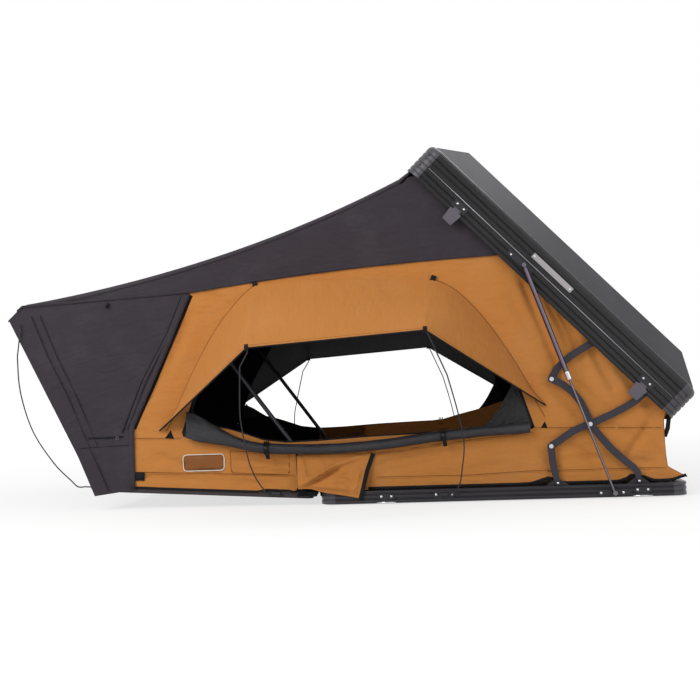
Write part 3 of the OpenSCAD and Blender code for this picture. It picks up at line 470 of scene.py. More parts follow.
def grid(rows: Sequence[Sequence[Triple]], flat: Callable[[int, int], Pair] | None = None) -> Sheet:
    """Sheet through rows of places in millimetres; its face looks along (next row) x (next column).

    Args:
        rows: Rows of equally many places.
        flat: Flat place of a row and column, in metres, or None to measure it.

    Returns:
        The sheet, welded.
    """
    wide = len(rows[0])
    points = [Vector(p) * MM for row in rows for p in row]
    if flat is None:
        mid = wide // 2
        down = [0.0]
        for a, b in zip(rows, rows[1:]):
            down.append(down[-1] + math.dist(a[mid], b[mid]) * MM)
        uv: list[Pair] = []
        for i, row in enumerate(rows):
            run = 0.0
            for j, p in enumerate(row):
                run += math.dist(row[j - 1], p) * MM if j else 0.0
                uv.append((run, down[i]))
    else:
        uv = [flat(i, j) for i in range(len(rows)) for j in range(wide)]
    faces = [
        (i * wide + j, (i + 1) * wide + j, (i + 1) * wide + j + 1, i * wide + j + 1)
        for i in range(len(rows) - 1) for j in range(wide - 1)
    ]
    return Sheet(points, faces, uv).weld()


def panel(
    outline: Sequence[Pair], holes: Sequence[Sequence[Pair]], step: float,
    place: Callable[[float, float], Triple], cuts: Sequence[tuple[Pair, Pair]] = (),
) -> Sheet:
    """Flat-cut cloth with holes, set in space.

    Args:
        outline: Closed outline as [x, z] in millimetres.
        holes: Closed outlines of its holes.
        step: Spacing of the inner points.
        place: Where a flat place goes, in millimetres.
        cuts: Stretches of line that the faces keep to.

    Returns:
        The sheet, welded.
    """
    flat: list[Vector] = []
    edges: list[tuple[int, int]] = []
    segments: list[tuple[Pair, Pair]] = list(cuts)
    for loop in [outline, *holes]:
        segments += edges_of(loop)
    for a, b in segments:
        parts = max(1, round(math.dist(a, b) / step))
        base = len(flat)
        flat += [Vector(mix(a, b, k / parts)) for k in range(parts + 1)]
        edges += [(base + k, base + k + 1) for k in range(parts)]
    xs, zs = [p[0] for p in outline], [p[1] for p in outline]
    for i in range(int((max(xs) - min(xs)) / step) + 1):
        for j in range(int((max(zs) - min(zs)) / step) + 1):
            p = (min(xs) + (i + 0.5 * (j % 2)) * step, min(zs) + j * step)
            if inside(p, outline) and not any(inside(p, h) for h in holes):
                if min(off_edge(p, a, b) for a, b in segments) > 0.45 * step:
                    flat.append(Vector(p))
    points, _, faces, *_ = delaunay_2d_cdt(flat, edges, [], 0, 1e-3)
    kept = []
    for f in faces:
        mid = tuple(sum(points[i][k] for i in f) / len(f) for k in (0, 1))
        if inside(mid, outline) and not any(inside(mid, h) for h in holes):
            kept.append(tuple(f))
    places = [Vector(place(*p)) * MM for p in points]
    return Sheet(places, kept, [(p[0] * MM, p[1] * MM) for p in points]).weld()


def walk(path: Sequence[Triple]) -> Iterator[tuple[Vector, Vector, float]]:
    """Each place along a path, in metres, with the way onwards and the run up to it."""
    line = [Vector(p) * MM for p in path]
    last = len(line) - 1
    run = 0.0
    for i, p in enumerate(line):
        run += (p - line[i - 1]).length if i else 0.0
        yield p, (line[min(i + 1, last)] - line[max(i - 1, 0)]).normalized(), run


def tube(path: Sequence[Triple], radius: float, sides: int = 8, squeeze: float = 1.0) -> Shape:
    """Closed tube along places in millimetres.

    Args:
        path: The tube's middle line.
        radius: Radius in millimetres.
        sides: Sides of its section.
        squeeze: Height of the section against its width.

    Returns:
        The tube.
    """
    shape = Shape()
    up = Vector((0.13, -0.2, 1.0))
    for p, way, run in walk(path):
        side = way.cross(up).normalized()
        up = side.cross(way)
        for k in range(sides):
            a = 2 * math.pi * k / sides
            shape.points.append(p + (side * math.cos(a) + up * math.sin(a) * squeeze) * radius * MM)
            shape.flat.append((run, k / sides * radius * 6 * MM))
    return shape.loft(sides)


def ribbon(path: Sequence[Triple], width: float, thickness: float, out: Triple) -> Shape:
    """Flat band along places in millimetres, lying on them and rising along a direction.

    Args:
        path: The band's middle line, on the cloth.
        width: Width of the band.
        thickness: How far it rises.
        out: Direction that it rises along.

    Returns:
        The closed band.
    """
    lift = Vector(out).normalized()
    top = lift * thickness * MM
    shape = Shape()
    for p, way, run in walk(path):
        side = way.cross(lift).normalized() * width * MM / 2
        for k, corner in enumerate((-side, side, side * 0.94 + top, -side * 0.94 + top)):
            shape.points.append(p + corner)
            shape.flat.append((run, (0.0 if k in (0, 3) else width) * MM))
    return shape.loft(4)


def srgb(colour: Triple, gain: float = 1.0) -> tuple[float, float, float, float]:
    """Linear colour of an 8-bit screen colour.

    Args:
        colour: Channels from 0 to 255.
        gain: Factor on the result.

    Returns:
        The colour, opaque.
    """
    def one(c: float) -> float:
        """Linear value of one channel."""
        c = c / 255.0
        return gain * (c / 12.92 if c <= 0.04045 else ((c + 0.055) / 1.055) ** 2.4)

    return one(colour[0]), one(colour[1]), one(colour[2]), 1.0


class Graph:
    """Short way to place and link nodes in a tree."""

    def __init__(self, tree: NodeTree) -> None:
        """Starts from an empty tree."""
        self.tree = tree
        tree.nodes.clear()

    def add(self, kind: str, inputs: dict | None = None, **settings: object) -> Node:
        """Places a node.

        Args:
            kind: The node's type.
            inputs: Values or sockets by the input's name or number.
            settings: The node's own properties.

        Returns:
            The node.
        """
        node = self.tree.nodes.new(kind)
        for key, value in settings.items():
            setattr(node, key, value)
        for key, value in (inputs or {}).items():
            if isinstance(value, NodeSocket):
                self.tree.links.new(value, node.inputs[key])
            else:
                node.inputs[key].default_value = value
        return node

    def maths(self, operation: str, *values: object) -> NodeSocket:
        """Result of a Math node."""
        return self.add("ShaderNodeMath", dict(enumerate(values)), operation=operation).outputs[0]

    def group(self, tree: NodeTree, inputs: dict) -> Node:
        """A node that runs a shader group."""
        return self.add("ShaderNodeGroup", inputs, node_tree=tree)

    def noise(
        self, place: object, scale: object, detail: float = 2.0, rough: float = 0.5
    ) -> NodeSocket:
        """Value of a Noise Texture."""
        inputs = {"Vector": place, "Scale": scale, "Detail": detail, "Roughness": rough}
        return self.add("ShaderNodeTexNoise", inputs).outputs["Fac"]

    def tint(self, fac: object, low: object, high: object) -> NodeSocket:
        """Colour between two colours."""
        return self.add("ShaderNodeMix", {0: fac, 6: low, 7: high}, data_type="RGBA").outputs[2]

    def toned(
        self, tone: object, dust: object, colour: Triple, spread: float, lift: float
    ) -> NodeSocket:
        """Colour that varies with a tone and pales under dust."""
        base = self.tint(tone, srgb(colour, 1 - spread), srgb(colour, 1 + spread))
        return self.tint(dust, base, srgb(tuple(min(255.0, c * 0.8 + lift) for c in colour)))

    def between(self, value: object, low: float, high: float) -> NodeSocket:
        """A 0 to 1 value spread between two numbers."""
        spread = self.add("ShaderNodeMapRange", {"Value": value, "To Min": low, "To Max": high})
        return spread.outputs["Result"]

    def bump(self, height: object, distance: float, normal: object | None = None) -> NodeSocket:
        """Normal of a Bump node.

        Args:
            height: The height.
            distance: Its scale in metres.
            normal: The normal that it starts from.

        Returns:
            The new normal.
        """
        inputs = {"Height": height, "Distance": distance, "Strength": 1.0}
        if normal is not None:
            inputs["Normal"] = normal
        return self.add("ShaderNodeBump", inputs).outputs["Normal"]


def new_material(name: str) -> tuple[Material, Graph]:
    """A material and its graph, still empty."""
    material = bpy.data.materials.new(name)
    material.use_nodes = True
    return material, Graph(material.node_tree)


def shader_group(name: str, inputs: dict[str, str], outputs: Sequence[str]) -> tuple[Graph, dict, Callable]:
    """Starts a shader node group.

    Args:
        name: The group's name.
        inputs: Socket type by input name.
        outputs: Names of its value outputs.

    Returns:
        The graph, its input sockets by name and a function that ends it with the output values.
    """
    tree = bpy.data.node_groups.new(name, "ShaderNodeTree")
    graph = Graph(tree)
    for key, kind in inputs.items():
        tree.interface.new_socket(name=key, in_out="INPUT", socket_type=kind)
    for key in outputs:
        tree.interface.new_socket(name=key, in_out="OUTPUT", socket_type="NodeSocketFloat")
    start = graph.add("NodeGroupInput")
    sockets = {key: start.outputs[key] for key in inputs}
    return graph, sockets, lambda values: graph.add("NodeGroupOutput", values)


class Effects:
    """The shader groups that several finishes share."""

    def __init__(self) -> None:
        """Builds each group once."""
        self.weave = self._weave()
        self.crease = self._crease()
        self.grain = self._grain()
        self.dust = self._dust()

    @staticmethod
    def _weave() -> NodeTree:
        """Over-and-under threads with uneven yarn."""
        graph, start, end = shader_group(
            "cloth_weave", {"Flat": "NodeSocketVector", "Threads": "NodeSocketFloat"}, ["Height", "Tone"])
        split = graph.add("ShaderNodeSeparateXYZ", {"Vector": start["Flat"]})
        turns = graph.maths("MULTIPLY", start["Threads"], 2 * math.pi)
        warp = graph.maths("SINE", graph.maths("MULTIPLY", split.outputs[0], turns))
        weft = graph.maths("SINE", graph.maths("MULTIPLY", split.outputs[1], turns))
        over = graph.maths("MULTIPLY_ADD", graph.maths("MULTIPLY", warp, weft), 0.5, 0.5)
        yarn = graph.noise(start["Flat"], graph.maths("MULTIPLY", start["Threads"], 0.25), 3.0, 0.65)
        end({"Height": graph.maths("MULTIPLY_ADD", yarn, 0.5, over), "Tone": yarn})
        return graph.tree

    @staticmethod
    def _crease() -> NodeTree:
        """Soft creases of handled cloth."""
        graph, start, end = shader_group(
            "cloth_crease", {"Flat": "NodeSocketVector", "Size": "NodeSocketFloat"}, ["Height", "Shade"])
        turned = graph.add(
            "ShaderNodeMapping", {"Vector": start["Flat"], "Rotation": (0, 0, 0.6), "Scale": (1, 2.6, 1)})
        wide = graph.noise(turned.outputs[0], start["Size"], 2.0, 0.55)
        fold = graph.maths("ABSOLUTE", graph.maths("SUBTRACT", wide, 0.5))
        small = graph.noise(start["Flat"], graph.maths("MULTIPLY", start["Size"], 3.1), 3.0, 0.6)
        end({"Height": graph.maths("MULTIPLY_ADD", small, 0.25, fold), "Shade": wide})
        return graph.tree

    @staticmethod
    def _grain() -> NodeTree:
        """Fine grain of powder coat and moulded plastic."""
        graph, start, end = shader_group(
            "coat_grain", {"Place": "NodeSocketVector", "Size": "NodeSocketFloat"}, ["Height", "Tone"])
        fine = graph.noise(start["Place"], start["Size"], 2.0, 0.6)
        broad = graph.noise(start["Place"], graph.maths("MULTIPLY", start["Size"], 0.01), 3.0, 0.55)
        end({"Height": fine, "Tone": broad})
        return graph.tree

    @staticmethod
    def _dust() -> NodeTree:
        """Patches of dust and handling."""
        graph, start, end = shader_group(
            "dust_patches", {"Place": "NodeSocketVector", "Amount": "NodeSocketFloat"}, ["Mask"])
        cloud = graph.noise(start["Place"], 5.0, 5.0, 0.6)
        lifted = graph.add("ShaderNodeMapRange", {"Value": cloud, "From Min": 0.5, "From Max": 0.8})
        end({"Mask": graph.maths("MULTIPLY", lifted.outputs["Result"], start["Amount"])})
        return graph.tree


@dataclass(frozen=True)
class ClothFinish:
    """Woven or coated cloth; sizes in threads per metre and metres."""

    name: str
    colour: Triple
    threads: float = 700.0
    relief: float = 0.0003
    crease: float = 0.003
    crease_size: float = 5.0
    rough: float = 0.85
    sheen: float = 0.02
    shine: float = 0.12
    spread: float = 0.1
    grid: float = 0.0
    # Strength of a painted glow in the cloth's own colour, standing in for daylight through the cloth.
    through: float = 0.0

    def build(self, effects: Effects) -> Material:
        """Makes the material.

        Args:
            effects: The shared shader groups.

        Returns:
            The material.
        """
        material, graph = new_material(self.name)
        where = graph.add("ShaderNodeTexCoord")
        flat = where.outputs["UV"]
        weave = graph.group(effects.weave, {"Flat": flat, "Threads": self.threads})
        crease = graph.group(effects.crease, {"Flat": flat, "Size": self.crease_size})
        dust = graph.group(effects.dust, {"Place": where.outputs["Object"], "Amount": 0.25})
        shade = graph.maths("MULTIPLY", crease.outputs["Shade"], 0.4)
        tone = graph.maths("MULTIPLY_ADD", weave.outputs["Tone"], 0.6, shade)
        base = graph.toned(tone, dust.outputs["Mask"], self.colour, self.spread, 45)
        height = weave.outputs["Height"]
        if self.grid:
            cells = graph.add("ShaderNodeTexBrick", {
                "Vector": flat, "Scale": 1.0, "Mortar Size": self.grid * 0.06, "Brick Width": self.grid,
                "Row Height": self.grid}, offset=0.0)
            height = graph.maths("MULTIPLY_ADD", cells.outputs["Fac"], 1.5, height)
        normal = graph.bump(height, self.relief, graph.bump(crease.outputs["Height"], self.crease))
        # When set, the cloth glows in its own colour: painted light.
        shader = graph.add("ShaderNodeBsdfPrincipled", {
            "Base Color": base, "Emission Color": base, "Emission Strength": self.through, "Normal": normal,
            "Roughness": graph.between(weave.outputs["Tone"], self.rough - 0.06, self.rough + 0.06),
            "Sheen Weight": self.sheen, "Sheen Roughness": 0.5, "Specular IOR Level": self.shine})
        graph.add("ShaderNodeOutputMaterial", {"Surface": shader.outputs[0]})
        return material


@dataclass(frozen=True)
class CoatFinish:
    """Powder coat, plastic, rubber or plated metal."""

    name: str
    colour: Triple
    metallic: float = 0.0
    rough: float = 0.45
    grain: float = 900.0
    depth: float = 0.00012
    spread: float = 0.08
    ribs: float = 0.0
    shine: float = 0.3
    lid_turned: bool = False
    brushed: bool = False
    rimmed: bool = False

    def build(self, effects: Effects) -> Material:
        """Makes the material.

        Args:
            effects: The shared shader groups.

        Returns:
            The material.
        """
        material, graph = new_material(self.name)
        place = graph.add("ShaderNodeTexCoord").outputs["Object"]
        if self.lid_turned:
            turned = graph.add("ShaderNodeMapping", {"Vector": place, "Rotation": (0.0, -LID_TURN, 0.0)})
            place = turned.outputs[0]
        stretched = place
        if self.brushed:
            brush = graph.add("ShaderNodeMapping", {"Vector": place, "Scale": (0.03, 1.0, 1.0)})
            stretched = brush.outputs[0]
        grain = graph.group(effects.grain, {"Place": stretched, "Size": self.grain})
        dust = graph.group(effects.dust, {"Place": place, "Amount": 0.2})
        base = graph.toned(grain.outputs["Tone"], dust.outputs["Mask"], self.colour, self.spread, 40)
        # Painted highlight and shade: the colour is lighter where the surface faces the camera and darker
        # towards its grazing edges.
        if self.rimmed:
            facing = graph.add("ShaderNodeLayerWeight", {"Blend": 0.84}).outputs["Facing"]
            base = graph.tint(facing, srgb(self.colour, 1.35), srgb(self.colour, 0.12))
        normal = graph.bump(grain.outputs["Height"], self.depth)
        if self.ribs:
            rise = graph.add("ShaderNodeSeparateXYZ", {"Vector": place}).outputs[2]
            wave = graph.maths("SINE", graph.maths("MULTIPLY", rise, 2 * math.pi / self.ribs))
            normal = graph.bump(graph.maths("SMOOTH_MAX", wave, 0.0, 0.4), 0.0007, normal)
        worn = graph.maths("MULTIPLY", grain.outputs["Tone"], 0.4)
        worn = graph.maths("MULTIPLY_ADD", grain.outputs["Height"], 0.6, worn)
        rough = graph.between(worn, max(self.rough - 0.1, 0.03), self.rough + 0.1)
        shader = graph.add("ShaderNodeBsdfPrincipled", {
            "Base Color": base, "Metallic": self.metallic, "Specular IOR Level": self.shine,
            "Roughness": rough, "Normal": normal})
        graph.add("ShaderNodeOutputMaterial", {"Surface": shader.outputs[0]})
        return material


CLOTHS = (
    ClothFinish("tan_canvas", (188, 124, 64), spread=0.08, shine=0.05, crease=0.009, crease_size=7.0),
    # Copy of the canvas for inner faces that glows a little: painted light standing in for daylight through
    # the cloth.
    ClothFinish(
        "tan_inside", (188, 124, 64), spread=0.08, shine=0.05, crease=0.009, crease_size=7.0, through=0.055),
    ClothFinish("black_lining", (19, 18, 19), threads=500, rough=0.7),
    ClothFinish(
        "fly_ripstop", (57, 52, 58), threads=900, grid=0.006, rough=0.62, crease=0.011, crease_size=6.0),
    ClothFinish("black_webbing", (26, 26, 28), threads=420, relief=0.0005, rough=0.75, crease=0.0),
    ClothFinish(
        "roll_nylon", (36, 36, 41), threads=800, crease=0.009, crease_size=11.0, rough=0.42, shine=0.35),
    # The cover's loose end: a darker copy of the roll's nylon, painted shade.
    ClothFinish(
        "gather_nylon", (24, 23, 25), threads=800, crease=0.014, crease_size=14.0, rough=0.48, shine=0.3),
    ClothFinish("mattress_knit", (150, 146, 138), threads=380, relief=0.0007, crease=0.002, rough=0.9),
    ClothFinish("seam_thread", (112, 68, 32), threads=900, relief=0.0002, crease=0.0, rough=0.8),
    ClothFinish("dark_thread", (28, 27, 30), threads=900, relief=0.0002, crease=0.0, rough=0.8),
    ClothFinish("bare_patch", (136, 86, 48), threads=520, relief=0.0004, crease=0.001, rough=0.8),
    ClothFinish("patch_border", (222, 216, 206), threads=420, relief=0.0004, crease=0.0, rough=0.75),
)
# The rod, strut and bow finishes are lighter where they face the camera and darker at their edges: painted
# highlight and shade.
COATS = (
    CoatFinish("ribbed_black", (44, 42, 46), rough=0.3, ribs=0.0062, shine=0.25),
    # The lid's rails: ribs turned with the lid, and a darker copy of the tray rails' colour as painted shade.
    CoatFinish("ribbed_black_lid", (20, 20, 22), rough=0.27, ribs=0.0062, shine=0.32, lid_turned=True),
    CoatFinish("corner_black", (64, 62, 67), rough=0.36, grain=1400, depth=0.0001, shine=0.4),
    CoatFinish("lid_skin", (54, 52, 56), rough=0.46, grain=1100, depth=0.0002, spread=0.06, shine=0.2),
    CoatFinish("bracket_black", (36, 36, 39), rough=0.42),
    CoatFinish("arm_grey", (44, 42, 49), rough=0.42),
    CoatFinish("hasp_grey", (88, 83, 92), rough=0.38),
    CoatFinish("steel", (196, 196, 200), metallic=1.0, rough=0.26, brushed=True),
    CoatFinish("rod_steel", (104, 100, 106), metallic=0.9, rough=0.22, rimmed=True),
    CoatFinish("bare_aluminium", (166, 165, 170), metallic=0.9, rough=0.34, brushed=True),
    CoatFinish("frame_dark", (60, 53, 55), metallic=0.3, rough=0.4, brushed=True),
    CoatFinish("floor_board", (150, 148, 148), metallic=0.5, rough=0.45, brushed=True),
    CoatFinish("seal_rubber", (22, 22, 24), rough=0.75, grain=600),
    CoatFinish("strut_dark", (96, 88, 102), metallic=0.8, rough=0.2, depth=0.00002, rimmed=True),
    CoatFinish("spring_black", (44, 44, 48), metallic=0.2, rough=0.36, depth=0.00002),
    CoatFinish("pole_black", (52, 52, 58), rough=0.35, rimmed=True),
    CoatFinish("badge_metal", (158, 154, 155), metallic=0.9, rough=0.32, brushed=True),
)


class Wardrobe:
    """Every material of the tent, by name."""

    def __init__(self) -> None:
        """Builds the shared groups and each finish."""
        effects = Effects()
        self.by_name = {f.name: f.build(effects) for f in (*CLOTHS, *COATS)}

    def __getitem__(self, name: str) -> Material:
        """One material."""
        return self.by_name[name]

    def pick(self, *names: str) -> list[Material]:
        """Several materials."""
        return [self.by_name[n] for n in names]


@dataclass
class Studio:
    """Camera at the photograph's place, a pale floor and soft light."""

    eye: Triple = (-0.2531, -4.9334, 0.4838)
    look: Triple = (-0.0771, 0.9965, 0.0308)
    up: Triple = (0.0378, -0.0279, 0.9989)
    lens: float = 55.08

    def build(self) -> None:
        """Makes the camera, the lamps, the world and the floor."""
        scene = bpy.context.scene
        scene.view_settings.view_transform = "Standard"
        data = bpy.data.cameras.new("camera")
        data.lens, data.sensor_width, data.clip_end = self.lens, 36.0, 200.0
        camera = bpy.data.objects.new("camera", data)
        scene.collection.objects.link(camera)
        front = Vector(self.look).normalized()
        right = front.cross(Vector(self.up)).normalized()
        over = right.cross(front)
        camera.matrix_world = Matrix((right, over, -front)).transposed().to_4x4()
        camera.location = self.eye
        scene.camera = camera
        self._lamp("key", (-3.4, -4.2, 3.6), (-0.4, 0.0, 0.5), 3.2, 195.0)
        self._lamp("fill", (3.6, -4.6, 2.4), (0.2, 0.0, 0.5), 4.0, 62.0)
        self._lamp("top", (1.0, 0.6, 3.6), (0.0, 0.0, 0.9), 2.2, 40.0)
        self._world(scene)
        self._floor()

    @staticmethod
    def _lamp(name: str, place: Triple, aim: Triple, size: float, watts: float) -> None:
        """Adds one soft lamp.

        Args:
            name: Its name.
            place: Where it hangs.
            aim: Where it points.
            size: Side of its square.
            watts: Its power.
        """
        data = bpy.data.lights.new(name, "AREA")
        data.shape, data.size, data.energy = "SQUARE", size, watts
        lamp = bpy.data.objects.new(name, data)
        lamp.location = place
        lamp.rotation_euler = (Vector(aim) - Vector(place)).to_track_quat("-Z", "Y").to_euler()
        bpy.context.scene.collection.objects.link(lamp)

    @staticmethod
    def _shown(graph: Graph) -> NodeSocket:
        """Share that is 1 for what the camera, a mirror or glass sees."""
        light = graph.add("ShaderNodeLightPath")
        seen = graph.maths("MAXIMUM", light.outputs["Is Camera Ray"], light.outputs["Is Glossy Ray"])
        return graph.maths("MAXIMUM", seen, light.outputs["Is Transmission Ray"])

    def _world(self, scene: bpy.types.Scene) -> None:
        """White behind the tent, softer light on it."""
        world = bpy.data.worlds.new("studio")
        scene.world = world
        world.use_nodes = True
        graph = Graph(world.node_tree)
        light = graph.add("ShaderNodeBackground", {"Color": WHITE, "Strength": 0.44})
        white = graph.add("ShaderNodeBackground", {"Color": WHITE, "Strength": 1.0})
        both = graph.add("ShaderNodeMixShader", {
            0: self._shown(graph), 1: light.outputs[0], 2: white.outputs[0]})
        graph.add("ShaderNodeOutputWorld", {"Surface": both.outputs[0]})

    def _floor(self) -> None:
        """Pale floor that keeps the tent's shadow."""
        mesh = bpy.data.meshes.new("pale_floor")
        reach, low = 30.0, -0.004
        corners = [(x * reach, y * reach, low) for x, y in ((-1, -1), (1, -1), (1, 1), (-1, 1))]
        mesh.from_pydata(corners, [], [(0, 1, 2, 3)])
        material, graph = new_material("pale_floor")
        matt = graph.add("ShaderNodeBsdfDiffuse", {"Color": (0.85, 0.85, 0.85, 1.0)})
        glow = graph.add("ShaderNodeEmission", {"Color": WHITE, "Strength": 1.08})
        place = graph.add("ShaderNodeTexCoord").outputs["Object"]
        away = graph.add("ShaderNodeVectorMath", {0: place}, operation="LENGTH").outputs["Value"]
        fade = graph.add("ShaderNodeMapRange", {
            "Value": away, "From Min": 1.2, "From Max": 5.5, "To Min": 0.62, "To Max": 1.0}).outputs["Result"]
        share = graph.maths("MULTIPLY", self._shown(graph), fade)
        both = graph.add("ShaderNodeMixShader", {0: share, 1: matt.outputs[0], 2: glow.outputs[0]})
        graph.add("ShaderNodeOutputMaterial", {"Surface": both.outputs[0]})
        mesh.materials.append(material)
        floor = bpy.data.objects.new("pale_floor", mesh)
        bpy.context.scene.collection.objects.link(floor)


@dataclass(frozen=True)
class Carry:
    """How a soft piece is carried and where it flattens when the tent shuts."""

    body: str
    joint: str
    axis: Triple
    anchor: Triple
    keep: float

    def settle(self, obj: Object, slot: str, nodes: Iterable[str] = ()) -> Object:
        """Lets a piece ride on its body.

        Args:
            obj: The finished piece.
            slot: Not used.
            nodes: The solids that it stands for.

        Returns:
            The piece.
        """
        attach(obj, self.body)
        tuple(self.axis)
        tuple(self.anchor)
        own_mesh(obj)
        if nodes:
            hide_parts(*nodes)
        LOG.info("%s rides %s", obj.name, self.body)
        return obj


def wall_carry(half: Half, side: Side = Side.NEAR) -> Carry:
    """Carry of a wall on one side of the hinge line; the front ones lean inwards as they fold.

    Args:
        half: The stretch.
        side: The side, which counts at the front.

    Returns:
        The carry.
    """
    if half is Half.REAR:
        return Carry("base", "lid_close", (0, 0, 1), (0, 0, 0.1087), 0.0008)
    axis = (LEAN[0] * FLOOR_NORMAL[0], LEAN[1] * side.out, LEAN[0] * FLOOR_NORMAL[2])
    return Carry("floor", "floor_fold", axis, metres(floor_at(-400, -CANVAS_Y * side.out, -10)), 0.004)


def fly_carry(half: Half) -> Carry:
    """Carry of the fly, which lies from under the lid's front rail up over the folded floor.

    Args:
        half: The stretch.

    Returns:
        The carry.
    """
    if half is Half.REAR:
        return Carry("base", "lid_close", (-TUCK[1], 0, TUCK[0]), (-0.725, 0, 0.1049), 0.0008)
    return Carry("floor", "floor_fold", FLOOR_NORMAL, metres(floor_at(-400, 0, 14)), 0.0003)


def gusset_carry(half: Half, side: Side) -> Carry:
    """Carry of the loose gusset at the hinge, which is turned inwards as it flattens.

    Args:
        half: The stretch.
        side: The side.

    Returns:
        The carry.
    """
    if half is Half.REAR:
        axis = (GUSSET_REAR[0], GUSSET_REAR[1] * side.out, 0.0)
        return Carry("base", "lid_close", axis, (-0.62, 0.6 * side.out, 0.1), 0.03)
    axis = (GUSSET_FRONT[0] * FLOOR_NORMAL[0], GUSSET_FRONT[1] * side.out, GUSSET_FRONT[0] * FLOOR_NORMAL[2])
    return Carry("floor", "floor_fold", axis, metres(floor_at(-40, 560 * side.out, -16)), 0.03)


def awning_carry(half: Half, side: Side) -> Carry:
    """Carry of an awning's stretch and the gear beside it.

    Args:
        half: The stretch.
        side: The side.

    Returns:
        The carry.
    """
    near = side is Side.NEAR
    if half is Half.REAR:
        axis = (TUCK[1], -TUCK[0] * side.out, 0)
        y = 0.6083 if near else 0.6076
        return Carry(f"rear_awning_{side.value}", "lid_close", axis, (-0.725, y * side.out, 0), 0.0005)
    y = 0.619 if near else 0.6178
    return Carry(f"front_awning_{side.value}", "floor_fold", (0, 1, 0), (0, y * side.out, 0), 0.001)


def declare(obj: Object, sheet: Sheet, held: str) -> None:
    """Logs a sheet's flat size and area from its own cut.

    Args:
        obj: The piece.
        sheet: Its cut.
        held: Not used.
    """
    flat, area = sheet.size()
    flat = tuple(round(f + 0.0005, 4) for f in flat)
    full = flat[0] * flat[1]
    stated = None if area / full > FULL_SHARE else max(area, LEAST_SHARE * full)
    LOG.info("%s cut %.3f x %.3f m, %.3f m2", obj.name, flat[0], flat[1], area)


